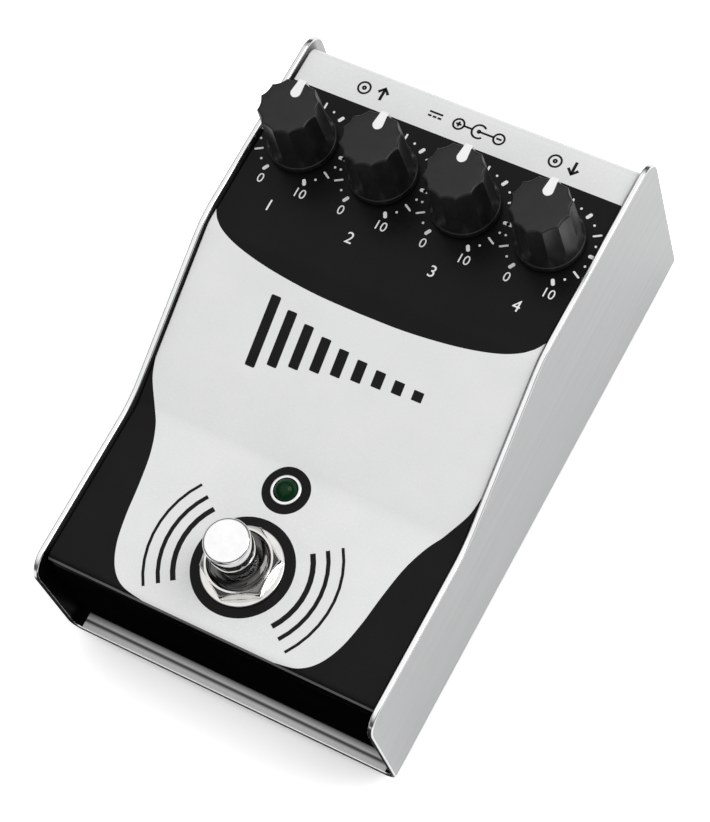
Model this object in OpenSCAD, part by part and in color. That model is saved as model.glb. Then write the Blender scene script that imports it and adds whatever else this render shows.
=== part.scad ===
// Delay pedal: a painted panel with four dials and a footswitch, nested in a U-bent sheet chassis.
// +X is the player's right, +Y points to the jacks at the rear, and Z is 0 where the feet stand.

/* [Case] */
// Width over the two cheeks
case_w = 77.8; // [77:0.1:110]
// Length of the cheeks, front to rear
case_l = 124; // [118:0.5:170]
// Height of the cheeks at the rear
rear_h = 46.5; // [44:0.1:60]
// Height of the cheeks at the front
front_h = 31.6; // [31:0.1:40]
// Length of the level stretch behind the ramp
rear_flat_l = 47.2; // [46:0.1:60]
// Length of the level stretch in front of the ramp
front_flat_l = 40.1; // [40.1:0.1:50]
// Thickness of the chassis sheet
sheet_t = 1.2; // [0.8:0.1:2]
// Inside radius of the bends between floor and cheeks
bend_r = 1.7; // [1:0.1:3]
// Radius of the cheeks' upper front and rear corners
cheek_corner_r = 5; // [2:0.5:8]
// Radius where the cheeks' ramp starts and ends
cheek_ramp_r = 12; // [4:1:20]

/* [Top panel] */
// Thickness of the panel sheet
panel_t = 1.2; // [0.8:0.1:1.6]
// Gap between the panel and each cheek
panel_side_gap = 0.35; // [0.2:0.05:1]
// How far the panel lies below the cheeks' edges
panel_recess = 1.2; // [0.5:0.1:3]
// How far the panel's front face stands behind the cheeks' front edges
front_recess = 3.7; // [2:0.1:6]
// How far the panel's rear face stands in front of the cheeks' rear edges
rear_recess = 3; // [3:0.1:6]
// Inside radius of the panel's square bends
panel_bend_r = 1.3; // [0.8:0.1:3]
// Inside radius of the panel's bends at the ramp
panel_ramp_r = 2; // [1:0.5:6]
// Length of the flanges turned in along the floor
flange_l = 9; // [9:0.5:14]

/* [Feet and screws] */
// Height of the rubber feet
foot_h = 3; // [2.5:0.5:8]
// Diameter of the rubber feet
foot_d = 12.7; // [8:0.1:16]
// Distance from the case's sides and ends to the feet's centres
foot_inset = 10; // [8:0.5:14]
// Diameter of the panel screws
screw_d = 3; // [2:0.1:4]
// Diameter of the screws' heads
screw_head_d = 5.6; // [5:0.1:6]
// Height of the screws' heads
screw_head_h = 2; // [1:0.1:2.4]
// Distance of the screws from the middle plane
screw_x = 16; // [10:0.5:18]
// Distance of the screws from the panel's end faces
screw_inset = 5.75; // [5.6:0.05:8]
// Diameter of the clinch nuts
clinch_nut_d = 5.5; // [5:0.1:6]
// Height of the clinch nuts
clinch_nut_h = 2.5; // [1.5:0.1:4]

/* [Dials] */
// Distance between neighbouring dials
dial_pitch = 18.7; // [17.5:0.1:24]
// Distance of the dials from the cheeks' rear edges
dial_inset = 24.1; // [22:0.1:26]
// Height of the knobs' tops above the panel
knob_h = 15.1; // [14:0.1:20]
// Radius of the knobs' round skirts
skirt_r = 7.2; // [7:0.1:8.5]
// Height of the knobs' round skirts
skirt_h = 1.6; // [1:0.1:3]
// Radius of the knobs just above the skirt
waist_r = 6.9; // [6.7:0.1:7.2]
// Radius of the knobs' ribs at the top
rib_top_r = 6.3; // [5.8:0.1:6.8]
// Number of flutes round a knob
flute_count = 12; // [8:1:18]
// Radius of the tool that cuts a flute
flute_r = 1.7; // [1:0.1:2.5]
// Radius of a flute's floor where it starts above the skirt
flute_base_r = 6.6; // [6.4:0.1:6.8]
// Radius of a flute's floor at the top
flute_floor_r = 5.5; // [5:0.1:6]
// Width of the pointer inlays
pointer_w = 2; // [1:0.1:3]
// Depth of the pointer inlays
pointer_depth = 0.8; // [0.4:0.1:1.2]
// Distance from a knob's axis to the middle of the pointer's round end
pointer_start = 3.4; // [2:0.1:4]
// How far a pointer runs down the knob's side
pointer_drop = 4; // [2:0.1:6]

/* [Potentiometers] */
// Diameter of the shafts
shaft_d = 6; // [5:0.1:6.4]
// Thickness left at the shafts' flats
shaft_flat_t = 4.5; // [4:0.1:5]
// Outer diameter of the threaded bushes
pot_bush_d = 7; // [6.8:0.1:8]
// Height of the threaded bushes above the panel
pot_bush_h = 5; // [4:0.1:5.5]
// Diameter of the cans
can_d = 16.5; // [15:0.1:17]
// Wall of the cans
can_t = 0.8; // [0.5:0.1:1]
// Thickness of the cans' mounting plates
can_plate_t = 1; // [0.6:0.1:1.5]
// Thickness of the bushes' flanges inside the cans
pot_flange_t = 1.2; // [0.8:0.1:2]
// Thickness of the rotors on the shafts
rotor_t = 1.5; // [1:0.1:2]
// Thickness of the resistance wafers
wafer_t = 1.6; // [1:0.1:2]
// Width of the bush nuts across their flats
pot_nut_af = 10; // [9.5:0.1:10]
// Height of the bush nuts
pot_nut_h = 2; // [1.5:0.1:2.4]
// Diameter of the bush washers
pot_washer_d = 11.4; // [10:0.1:11.6]
// Thickness of the bush washers
pot_washer_t = 0.6; // [0.4:0.1:0.8]
// Diameter of the pins into the board
pin_d = 1; // [0.6:0.1:1.2]
// Distance between the pins of one potentiometer
pin_pitch = 5; // [4:0.1:5.5]

/* [Footswitch] */
// Distance of the footswitch from the cheeks' front edges
switch_inset = 18.9; // [17:0.1:19.5]
// Diameter of the button's head
button_d = 9.6; // [8:0.1:12]
// Height of the button's top above the panel
button_top_h = 14.3; // [13:0.1:18]
// Travel of the button
button_travel = 3; // [1:0.1:3]
// Diameter of the button's stem
stem_d = 7; // [5:0.1:8]
// Diameter of the threaded bush
switch_bush_d = 12; // [11:0.1:12]
// Height of the threaded bush above the panel
switch_bush_h = 5.6; // [4.4:0.1:5.6]
// Width of the nuts across their flats
switch_nut_af = 14; // [13.6:0.1:16]
// Height of the nut on the panel
switch_nut_h = 3; // [2:0.1:3.5]
// Height of the lock nut under the panel
lock_nut_h = 2.5; // [2:0.1:3.5]
// Diameter of the washer on the panel
switch_washer_d = 17; // [16:0.1:20]
// Thickness of the washer on the panel
switch_washer_t = 0.8; // [0.5:0.1:1]
// Distance from the panel's underside to the switch's top plate
switch_drop = 4; // [3.6:0.1:5]
// Thickness of the switch's top plate
switch_plate_t = 1.5; // [1:0.1:2]
// Width of the switch body
switch_body_w = 17.2; // [15:0.1:18]
// Height of the switch body
switch_body_h = 16.5; // [16:0.1:17]
// Depth of the chamber in the switch body
chamber_depth = 13; // [11:0.1:14]
// Diameter of the chamber in the switch body
chamber_d = 11; // [10.4:0.1:13]
// Thickness of the stop flange on the stem
stop_t = 1.6; // [1:0.1:2]
// Number of curls in the return spring
spring_curls = 6; // [3:1:7]
// Wire diameter of the return spring
spring_wire_d = 0.8; // [0.5:0.1:0.9]
// Length of the lugs under the switch body
lug_l = 3.5; // [2:0.1:3.5]
// Width of the solder lugs
lug_w = 2.4; // [1.5:0.1:3]
// Thickness of the solder lugs
lug_t = 0.6; // [0.4:0.1:0.8]

/* [Status light] */
// Distance of the light from the cheeks' front edges
light_inset = 36.5; // [35:0.1:36.5]
// Diameter of the lens
lens_d = 5; // [3:0.1:5]
// Height of the lens above the panel
lens_h = 2.2; // [1:0.1:3]
// Outer diameter of the bezel
bezel_d = 6.4; // [6.2:0.1:6.4]
// Thickness of the bezel's rim
bezel_rim_t = 0.6; // [0.3:0.1:1]

/* [Jacks] */
// Height of the jacks' axes above the chassis underside
jack_axis_h = 16.5; // [14:0.1:18]
// Distance of the signal jacks from the middle plane
jack_x = 21.5; // [18:0.1:26]
// Bore that takes a 6.35 mm plug
plug_bore_d = 6.6; // [6.5:0.1:6.8]
// Outer diameter of the signal jacks' bushes
jack_bush_d = 9.4; // [8.6:0.1:10]
// How far the bushes stand out of the rear face
jack_bush_out = 2.8; // [2.6:0.1:3]
// Width of the signal jacks' bodies
jack_body_w = 16; // [15:0.1:17]
// Height of the signal jacks' bodies
jack_body_h = 15; // [13:0.1:16]
// Length of the signal jacks' bodies
jack_body_l = 29; // [26:0.5:29]
// Thickness of the signal jacks' end walls
jack_end_t = 1.5; // [1:0.1:3]
// Width of the jack nuts across their flats
jack_nut_af = 12.7; // [12:0.1:14]
// Height of the jack nuts
jack_nut_h = 2; // [1.5:0.1:2]
// Diameter of the jack washers
jack_washer_d = 14; // [13:0.1:16]
// Thickness of the jack washers
jack_washer_t = 0.5; // [0.3:0.1:0.6]
// Width of the jack contacts
contact_w = 4; // [3:0.1:4.5]
// Thickness of the jack contacts
contact_t = 0.4; // [0.3:0.1:0.6]
// Outer diameter of the supply jack's barrel
supply_barrel_d = 11; // [10:0.1:12]
// Diameter of the supply jack's body behind the panel
supply_body_d = 13; // [12.6:0.1:14]
// Length of the supply jack's body behind the panel
supply_body_l = 12; // [10:0.5:14]
// Bore that takes a 5.5 mm supply plug
supply_bore_d = 5.7; // [5.6:0.1:6]
// Diameter of the supply jack's centre pin
supply_pin_d = 2.1; // [1.9:0.1:2.5]
// Width of the supply jack's nut across its flats
supply_nut_af = 14; // [13:0.1:16]

/* [Board] */
// Thickness of the board
board_t = 1.6; // [1:0.1:2]
// Length of the board, front to rear
board_l = 34; // [33:0.5:36]
// Gap between the board and each side of the panel
board_side_gap = 3; // [2:0.5:6]
// Gap between the board and the panel's rear face
board_rear_gap = 5.8; // [5:0.1:7]
// Gap between the potentiometers and the board
board_drop = 3; // [2:0.1:4]
// Width of the chips
chip_w = 6.4; // [6:0.1:8]
// Height of the chips
chip_h = 3.5; // [3:0.1:4]
// Length of the delay chip
delay_chip_l = 20; // [18:0.5:22]
// Length of an op-amp chip
op_amp_l = 9.6; // [9:0.1:10]
// Diameter of the capacitors
capacitor_d = 5; // [4:0.1:6]
// Height of the capacitors
capacitor_h = 7; // [5:0.5:7]
// Diameter of the regulator
regulator_d = 4.6; // [4:0.1:5]
// Height of the regulator
regulator_h = 5; // [4:0.1:5]

/* [Battery and leads] */
// Length of the battery, across the case
battery_l = 48.5; // [46:0.1:50]
// Width of the battery, front to rear
battery_w = 26.5; // [25:0.1:27]
// Thickness of the battery
battery_h = 17.5; // [16:0.1:18]
// Distance of the battery's middle left of the middle plane
battery_shift = 5.75; // [4:0.05:8]
// Thickness of the foam pad under the battery
pad_t = 1.5; // [1:0.1:2]
// Thickness of the snap connector
snap_t = 5; // [4:0.1:6]
// Diameter of the leads
lead_d = 1.2; // [0.8:0.1:1.4]

/* [Clearances] */
// Radial gap round bushes in panel holes
hole_gap = 0.15; // [0.05:0.01:0.3]
// Radial gap of turning and sliding shafts
run_gap = 0.04; // [0.02:0.01:0.1]
// Radial gap of pieces that are screwed, pressed or soldered together
seat_gap = 0.05; // [0.02:0.01:0.1]
// Gap between pieces that move past each other
move_gap = 0.4; // [0.3:0.05:0.6]
// Radial gap of the screws in the sheet
screw_gap = 0.2; // [0.1:0.05:0.4]

/* [Hidden] */
$fn = 64;
DIALS = ["level", "time", "repeat", "tone"];

// Cut-through margin of holes and cuts
cut = 1;
// Largest angle between neighbouring points of a rounded corner
corner_step = 5;

// Case levels and edges
base_z = foot_h;
floor_z = base_z + sheet_t;
cheek_rear_z = base_z + rear_h;
cheek_front_z = base_z + front_h;
panel_rear_z = cheek_rear_z - panel_recess;
panel_front_z = cheek_front_z - panel_recess;
front_y = -case_l / 2;
rear_y = case_l / 2;
ramp_top_y = rear_y - rear_flat_l;
ramp_bottom_y = front_y + front_flat_l;
panel_front_y = front_y + front_recess;
panel_rear_y = rear_y - rear_recess;
rear_inner_y = panel_rear_y - panel_t;
panel_w = case_w - 2 * (sheet_t + panel_side_gap);

// Outside line of the panel, closed along the floor
panel_line = [
  [panel_front_y, floor_z],
  [panel_rear_y, floor_z],
  [panel_rear_y, panel_rear_z],
  [ramp_top_y, panel_rear_z],
  [ramp_bottom_y, panel_front_z],
  [panel_front_y, panel_front_z]
];
panel_radii = [panel_bend_r, panel_bend_r, panel_bend_r, panel_ramp_r, panel_ramp_r, panel_bend_r];

// Corner relief that clears the bends between floor and cheeks
relief_w = bend_r - panel_side_gap + move_gap;
relief_h = bend_r + move_gap;

// Places of the screws and feet, front and rear
screw_ys = [panel_front_y + screw_inset, panel_rear_y - screw_inset];
foot_x = case_w / 2 - foot_inset;
foot_y = case_l / 2 - foot_inset;

// Dials, with heights measured from the panel's top
dial_y = rear_y - dial_inset;
knob_base = 0.5;
skirt_top = knob_base + skirt_h;
knob_edge = 0.5;
shaft_top = knob_h - 2;
knob_floor = pot_bush_h + 0.6;
flat_start = knob_floor + 0.5;
nut_cavity_r = pot_nut_af / 2 / cos(30) + move_gap;
nut_cavity_top = pot_washer_t + pot_nut_h + 0.8;
flute_start = skirt_top + 0.5;
flute_lean = atan((flute_base_r - flute_floor_r) / (knob_h - flute_start));
can_top = -panel_t;
flange_top = can_top - can_plate_t;
rotor_top = flange_top - pot_flange_t - move_gap;
wafer_top = rotor_top - rotor_t - move_gap;
can_bottom = wafer_top - wafer_t;
can_inner_r = can_d / 2 - can_t;
pot_flange_r = can_inner_r - 1.5;
rotor_r = can_inner_r - 1;
pin_y = -(can_inner_r - 2);

// Footswitch, with heights measured from the panel's top
switch_y = front_y + switch_inset;
plate_top = -panel_t - switch_drop;
plate_bottom = plate_top - switch_plate_t;
body_bottom = plate_bottom - switch_body_h;
chamber_bottom = plate_bottom - chamber_depth;
stop_top = plate_bottom - move_gap;
stop_bottom = stop_top - stop_t;
stop_r = chamber_d / 2 - move_gap;
guide_r = 2.4;
guide_l = 4;
button_bottom = switch_bush_h + button_travel + move_gap;
button_edge = 0.4;
spring_r = guide_r + move_gap + spring_wire_d / 2;
spring_bottom = chamber_bottom + spring_wire_d / 2;
spring_top = stop_bottom - move_gap - spring_wire_d / 2;
lug_pitch = 5;

// Status light, with heights measured from the panel's top
light_y = front_y + light_inset;
sleeve_d = lens_d + 0.8;
sleeve_bottom = -panel_t - 0.8;
lens_flange_t = 1;
lens_bottom = sleeve_bottom - lens_flange_t;
leg_pitch = 2.54;

// Jacks
jack_z = base_z + jack_axis_h;
jack_seat = 2;
jack_chamber_d = plug_bore_d + 0.4;
contact_offset = jack_chamber_d / 2 + 0.6;
contact_grip = 14;
contact_out = 5;
lower_contact_x = 5;
supply_wall = 1.5;
supply_tongue_l = 4;
supply_tongue_x = 3.6;

// Board and what it carries
board_w = panel_w - 2 * board_side_gap;
board_rear_y = rear_inner_y - board_rear_gap;
board_front_y = board_rear_y - board_l;
board_top_z = panel_rear_z + can_bottom - board_drop;
board_under_z = board_top_z - board_t;
chip_y = dial_y + 3;
regulator_y = board_rear_y - 3;
capacitor_y = board_front_y + 9;
capacitor_xs = [-9, -2, 5, 12];
solder_y = board_front_y + 2;

// Battery
battery_x = -battery_shift;
battery_z = floor_z + pad_t;
battery_top_z = battery_z + battery_h;
battery_end_x = battery_x + battery_l / 2;
terminal_pitch = 12.95;
terminal_h = 2.5;
terminal_r = 3.2;
snap_w = battery_w - 1.5;
snap_h = battery_h - 4.5;
pad_margin = 2;

function dial_x(i) = (i - (len(DIALS) - 1) / 2) * dial_pitch;
function hex_r(across_flats) = across_flats / 2 / cos(30);

// Closed lines, counter-clockwise: headings, turns and corners
function unit(v) = v / norm(v);
function left_of(v) = [-v.y, v.x];
function turned(v, a) = [v.x * cos(a) - v.y * sin(a), v.x * sin(a) + v.y * cos(a)];
function heading(line, i) = unit(line[(i + 1) % len(line)] - line[i]);
function before(line, i) = heading(line, (i + len(line) - 1) % len(line));
function turn(line, i) =
  let (a = before(line, i), b = heading(line, i)) atan2(cross(a, b), a * b);

// Points of one corner, rounded to radius r
function corner_points(line, i, r) =
  let (
    angle = turn(line, i),
    steps = ceil(abs(angle) / corner_step),
    side = left_of(before(line, i)) * r * sign(angle),
    centre = line[i] - before(line, i) * r * tan(abs(angle) / 2) + side
  ) [for (k = [0:steps]) centre - turned(side, angle * k / steps)];

// Closed outline with a radius at each corner
module rounded_outline(line, radii) {
  polygon([for (i = [0:len(line) - 1]) each radii[i] > 0 ? corner_points(line, i, radii[i]) : [line[i]]]);
}

// Mitred line at a distance d inside a closed line
function inset(line, d) = [
  for (i = [0:len(line) - 1])
    let (a = before(line, i), b = heading(line, i)) line[i] + d * left_of(a + b) / (1 + a * b)
];

// Sheet of thickness t inside a closed line, with an inside radius at each bend
module bent_sheet(line, radii, t) {
  corners = [for (i = [0:len(line) - 1]) i];
  difference() {
    rounded_outline(line, [for (i = corners) radii[i] + (turn(line, i) > 0 ? t : 0)]);
    rounded_outline(inset(line, t), [for (i = corners) radii[i] + (turn(line, i) < 0 ? t : 0)]);
  }
}

// Tube of triangles along a list of points, with ref never along the route
module tube(route, r, sides, ref) {
  last = len(route) - 1;
  headings = [for (i = [0:last]) unit(route[min(i + 1, last)] - route[max(i - 1, 0)])];
  points = [
    for (i = [0:last])
      let (u = unit(cross(headings[i], ref)), v = cross(headings[i], u))
        for (k = [0:sides - 1]) route[i] + r * (cos(360 * k / sides) * u + sin(360 * k / sides) * v)
  ];
  walls = [
    for (i = [0:last - 1])
      for (k = [0:sides - 1])
        let (a = i * sides + k, b = i * sides + (k + 1) % sides)
          each [[a, a + sides, b], [b, a + sides, b + sides]]
  ];
  end = last * sides;
  caps = [for (k = [1:sides - 2]) each [[0, k, k + 1], [end, end + k + 1, end + k]]];
  polyhedron(points, concat(walls, caps));
}

// Smooth route through hand-placed points, whose first and last stretches stay straight
function smooth_at(p, i, t) =
  let (a = p[i - 1], b = p[i], c = p[i + 1], d = p[i + 2])
    0.5 * (2 * b + (c - a) * t + (2 * a - 5 * b + 4 * c - d) * t * t + (3 * b - a - 3 * c + d) * t * t * t);
function smooth(p, steps) = concat(
  [p[0]],
  [for (i = [1:len(p) - 3]) for (k = [0:steps - 1]) smooth_at(p, i, k / steps)],
  [p[len(p) - 2], p[len(p) - 1]]
);

module along_x(length) {
  rotate([90, 0, 90]) linear_extrude(height = length, center = true) children();
}

module along_y(length) {
  rotate([90, 0, 0]) linear_extrude(height = length, center = true) children();
}

module at_dial(i) {
  translate([dial_x(i), dial_y, panel_rear_z]) children();
}

module at_switch() {
  translate([0, switch_y, panel_front_z]) children();
}

module at_light() {
  translate([0, light_y, panel_front_z]) children();
}

// Puts children on a jack's axis, with local Z pointing out of the rear face
module at_jack(x) {
  translate([x, panel_rear_y, jack_z]) rotate([-90, 0, 0]) children();
}

module at_screws() {
  for (x = [-screw_x, screw_x]) {
    for (y = screw_ys) {
      translate([x, y, 0]) children();
    }
  }
}

// Ring from z0 up to z1
module ring(outer_d, inner_d, z0, z1) {
  translate([0, 0, z0]) linear_extrude(height = z1 - z0) difference() {
    circle(d = outer_d);
    circle(d = inner_d);
  }
}

// Hex nut from z0 up to z1
module hex_nut(across_flats, inner_d, z0, z1) {
  translate([0, 0, z0]) linear_extrude(height = z1 - z0) difference() {
    circle(r = hex_r(across_flats), $fn = 6);
    circle(d = inner_d);
  }
}

module post(d, z0, z1) {
  translate([0, 0, z0]) cylinder(d = d, h = z1 - z0);
}

// Box centred on X and Y, from z0 up to z1
module block(w, l, z0, z1) {
  translate([-w / 2, -l / 2, z0]) cube([w, l, z1 - z0]);
}

module chassis() {
  tube_top = cheek_rear_z + sheet_t + cut;
  tube_line = [
    [-case_w / 2, base_z],
    [case_w / 2, base_z],
    [case_w / 2, tube_top],
    [-case_w / 2, tube_top]
  ];
  cheek_line = [
    [front_y, base_z - cut],
    [rear_y, base_z - cut],
    [rear_y, cheek_rear_z],
    [ramp_top_y, cheek_rear_z],
    [ramp_bottom_y, cheek_front_z],
    [front_y, cheek_front_z]
  ];
  cheek_radii = [0, 0, cheek_corner_r, cheek_ramp_r, cheek_ramp_r, cheek_corner_r];
  color("silver") difference() {
    intersection() {
      along_y(case_l + 2 * cut) bent_sheet(tube_line, [bend_r, bend_r, bend_r, bend_r], sheet_t);
      along_x(case_w + 2 * cut) rounded_outline(cheek_line, cheek_radii);
    }
    at_screws() post(screw_d + 2 * screw_gap, base_z - cut, floor_z + cut);
  }
}

module top_panel() {
  color("white") difference() {
    along_x(panel_w) bent_sheet(panel_line, panel_radii, panel_t);
    translate([0, (panel_front_y + panel_rear_y) / 2, 0])
      block(case_w, panel_rear_y - panel_front_y - 2 * flange_l, floor_z - cut, floor_z + panel_t + cut);
    for (side = [-1, 1]) {
      translate([side * panel_w / 2, 0, 0]) block(2 * relief_w, case_l, floor_z - cut, floor_z + relief_h);
    }
    at_screws() post(screw_d + 2 * screw_gap, floor_z - cut, floor_z + panel_t + cut);
    for (i = [0:len(DIALS) - 1]) {
      at_dial(i) post(pot_bush_d + 2 * hole_gap, -panel_t - cut, cut);
    }
    at_switch() post(switch_bush_d + 2 * hole_gap, -panel_t - cut, cut);
    at_light() post(sleeve_d + 2 * seat_gap, -panel_t - cut, cut);
    for (x = [-jack_x, jack_x]) {
      at_jack(x) post(jack_bush_d + 2 * hole_gap, -panel_t - cut, cut);
    }
    at_jack(0) post(supply_barrel_d + 2 * hole_gap, -panel_t - cut, cut);
  }
}

module rubber_feet() {
  foot_taper = 1;
  color("#202020") for (x = [-foot_x, foot_x]) {
    for (y = [-foot_y, foot_y]) {
      translate([x, y, 0]) cylinder(h = foot_h, d1 = foot_d - 2 * foot_taper, d2 = foot_d);
    }
  }
}

module panel_screws() {
  slot_w = 0.8;
  slot_l = 3.2;
  slot_depth = 1.2;
  head_bottom = base_z - screw_head_h;
  color("gray") at_screws() difference() {
    union() {
      post(screw_head_d, head_bottom, base_z);
      post(screw_d, base_z, floor_z + panel_t + clinch_nut_h);
    }
    block(slot_l, slot_w, head_bottom - cut, head_bottom + slot_depth);
    block(slot_w, slot_l, head_bottom - cut, head_bottom + slot_depth);
  }
}

module clinch_nuts() {
  flange_top_z = floor_z + panel_t;
  color("gray") at_screws()
    ring(clinch_nut_d, screw_d + 2 * seat_gap, flange_top_z, flange_top_z + clinch_nut_h);
}

// Knob before its hollows are cut: skirt, waist and leaning flutes
module knob_blank() {
  difference() {
    rotate_extrude() polygon([
      [0, knob_base],
      [skirt_r, knob_base],
      [skirt_r, skirt_top],
      [waist_r, skirt_top],
      [rib_top_r, knob_h - knob_edge],
      [rib_top_r - knob_edge, knob_h],
      [0, knob_h]
    ]);
    for (k = [0:flute_count - 1]) {
      rotate((k + 0.5) * 360 / flute_count) translate([flute_base_r + flute_r, 0, flute_start])
        rotate([0, -flute_lean, 0]) cylinder(r = flute_r, h = 2 * knob_h);
    }
  }
}

// Groove for the pointer: along the top to the rim, then down the rear side
module pointer_groove() {
  translate([0, 0, knob_h - pointer_depth]) linear_extrude(height = pointer_depth + cut) {
    translate([0, pointer_start]) circle(d = pointer_w);
    translate([-pointer_w / 2, pointer_start]) square([pointer_w, skirt_r]);
  }
  translate([-pointer_w / 2, rib_top_r - pointer_depth, knob_h - pointer_drop])
    cube([pointer_w, skirt_r, pointer_drop]);
}

// Round shaft with a flat on its front side, from z0 up to z1
module flatted_post(d, flat_t, z0, z1) {
  translate([0, 0, z0]) linear_extrude(height = z1 - z0) intersection() {
    circle(d = d);
    translate([-d, d / 2 - flat_t]) square([2 * d, 2 * d]);
  }
}

// Hollow under a knob: room for the nut and the bush, then the bore for the flatted shaft
module knob_hollow() {
  bush_room_r = pot_bush_d / 2 + move_gap;
  bore_r = shaft_d / 2 + seat_gap;
  rotate_extrude() polygon([
    [0, 0],
    [nut_cavity_r, 0],
    [nut_cavity_r, nut_cavity_top],
    [bush_room_r, nut_cavity_top],
    [bush_room_r, knob_floor],
    [bore_r, knob_floor],
    [bore_r, flat_start],
    [0, flat_start]
  ]);
  flatted_post(2 * bore_r, shaft_flat_t + 2 * seat_gap, flat_start, shaft_top + seat_gap);
}

module knob(i) {
  color("#2a2a2a") at_dial(i) difference() {
    knob_blank();
    knob_hollow();
    pointer_groove();
  }
}

module pointer(i) {
  color("white") at_dial(i) intersection() {
    knob_blank();
    pointer_groove();
  }
}

module shaft(i) {
  color("gainsboro") at_dial(i) {
    post(2 * rotor_r, rotor_top - rotor_t, rotor_top);
    post(shaft_d, rotor_top, flat_start);
    flatted_post(shaft_d, shaft_flat_t, flat_start, shaft_top);
  }
}

module pot(i) {
  color("silver") at_dial(i) difference() {
    post(can_d, can_bottom, can_top);
    post(2 * can_inner_r, can_bottom - cut, flange_top);
    post(pot_bush_d + 2 * seat_gap, flange_top - cut, can_top + cut);
  }
}

module pot_bushes() {
  color("goldenrod") for (i = [0:len(DIALS) - 1]) {
    at_dial(i) difference() {
      union() {
        post(pot_bush_d, flange_top, pot_bush_h);
        post(2 * pot_flange_r, flange_top - pot_flange_t, flange_top);
      }
      post(shaft_d + 2 * run_gap, flange_top - pot_flange_t - cut, pot_bush_h + cut);
    }
  }
}

module pot_nuts() {
  color("silver") for (i = [0:len(DIALS) - 1]) {
    at_dial(i) hex_nut(pot_nut_af, pot_bush_d + 2 * seat_gap, pot_washer_t, pot_washer_t + pot_nut_h);
  }
}

module pot_washers() {
  color("silver") for (i = [0:len(DIALS) - 1]) {
    at_dial(i) ring(pot_washer_d, pot_bush_d + 2 * seat_gap, 0, pot_washer_t);
  }
}

module pot_wafers() {
  color("saddlebrown") for (i = [0:len(DIALS) - 1]) {
    at_dial(i) post(2 * (can_inner_r - seat_gap), can_bottom, wafer_top);
  }
}

module at_pins() {
  for (i = [0:len(DIALS) - 1]) {
    for (k = [-1:1]) {
      at_dial(i) translate([k * pin_pitch, pin_y, 0]) children();
    }
  }
}

module pot_pins() {
  pin_tail = 1.5;
  color("silver") at_pins() post(pin_d, board_under_z - panel_rear_z - pin_tail, can_bottom);
}

module footswitch_button() {
  color("silver") at_switch() rotate_extrude() polygon([
    [0, stop_bottom - guide_l],
    [guide_r, stop_bottom - guide_l],
    [guide_r, stop_bottom],
    [stop_r, stop_bottom],
    [stop_r, stop_top],
    [stem_d / 2, stop_top],
    [stem_d / 2, button_bottom],
    [button_d / 2, button_bottom],
    [button_d / 2, button_top_h - button_edge],
    [button_d / 2 - button_edge, button_top_h],
    [0, button_top_h]
  ]);
}

module footswitch_bush() {
  color("silver") at_switch() difference() {
    union() {
      block(switch_body_w, switch_body_w, plate_bottom, plate_top);
      post(switch_bush_d, plate_top, switch_bush_h);
    }
    post(stem_d + 2 * run_gap, plate_bottom - cut, switch_bush_h + cut);
  }
}

module footswitch_body() {
  color("#1c3f7a") at_switch() difference() {
    block(switch_body_w, switch_body_w, body_bottom, plate_bottom);
    post(chamber_d, chamber_bottom, plate_bottom + cut);
  }
}

spring_rings = 8;
spring_route = [
  for (k = [0:spring_curls * spring_rings])
    let (a = 360 * k / spring_rings, share = k / (spring_curls * spring_rings))
      [spring_r * cos(a), spring_r * sin(a), spring_bottom + share * (spring_top - spring_bottom)]
];
spring_gap = min([
  for (i = [0:len(spring_route) - 1])
    for (j = [i + spring_rings - 2:1:len(spring_route) - 1]) norm(spring_route[j] - spring_route[i])
]) - spring_wire_d;
echo(spring_gap = spring_gap);

module footswitch_spring() {
  color("silver") at_switch() tube(spring_route, spring_wire_d / 2, 6, [0, 0, 1]);
}

// Lugs in three rows of three, broad side to the front
module footswitch_lugs() {
  color("gold") at_switch() for (x = [-lug_pitch, 0, lug_pitch]) {
    for (y = [-lug_pitch, 0, lug_pitch]) {
      translate([x, y, 0]) block(lug_w, lug_t, body_bottom - lug_l, body_bottom);
    }
  }
}

module footswitch_nut() {
  nut_top = switch_washer_t + switch_nut_h;
  nut_edge = 1;
  corner_r = hex_r(switch_nut_af);
  color("silver") at_switch() intersection() {
    hex_nut(switch_nut_af, switch_bush_d + 2 * seat_gap, switch_washer_t, nut_top);
    rotate_extrude() polygon([
      [0, 0],
      [corner_r + cut, 0],
      [corner_r + cut, nut_top - nut_edge],
      [corner_r - nut_edge, nut_top],
      [0, nut_top]
    ]);
  }
}

module footswitch_washer() {
  color("silver") at_switch() ring(switch_washer_d, switch_bush_d + 2 * seat_gap, 0, switch_washer_t);
}

module footswitch_lock_nut() {
  color("silver") at_switch()
    hex_nut(switch_nut_af, switch_bush_d + 2 * seat_gap, -panel_t - lock_nut_h, -panel_t);
}

module led_lens() {
  dome_r = lens_d / 2;
  color("darkgreen") at_light() rotate_extrude() {
    translate([0, lens_bottom]) square([sleeve_d / 2, lens_flange_t]);
    translate([0, lens_bottom]) square([dome_r, lens_h - lens_bottom - dome_r]);
    intersection() {
      translate([0, lens_h - dome_r]) circle(r = dome_r);
      translate([0, lens_h - dome_r]) square(dome_r);
    }
  }
}

module led_bezel() {
  color("gainsboro") at_light() difference() {
    union() {
      post(bezel_d, 0, bezel_rim_t);
      post(sleeve_d, sleeve_bottom, 0);
    }
    post(lens_d + 2 * seat_gap, sleeve_bottom - cut, bezel_rim_t + cut);
  }
}

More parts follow.
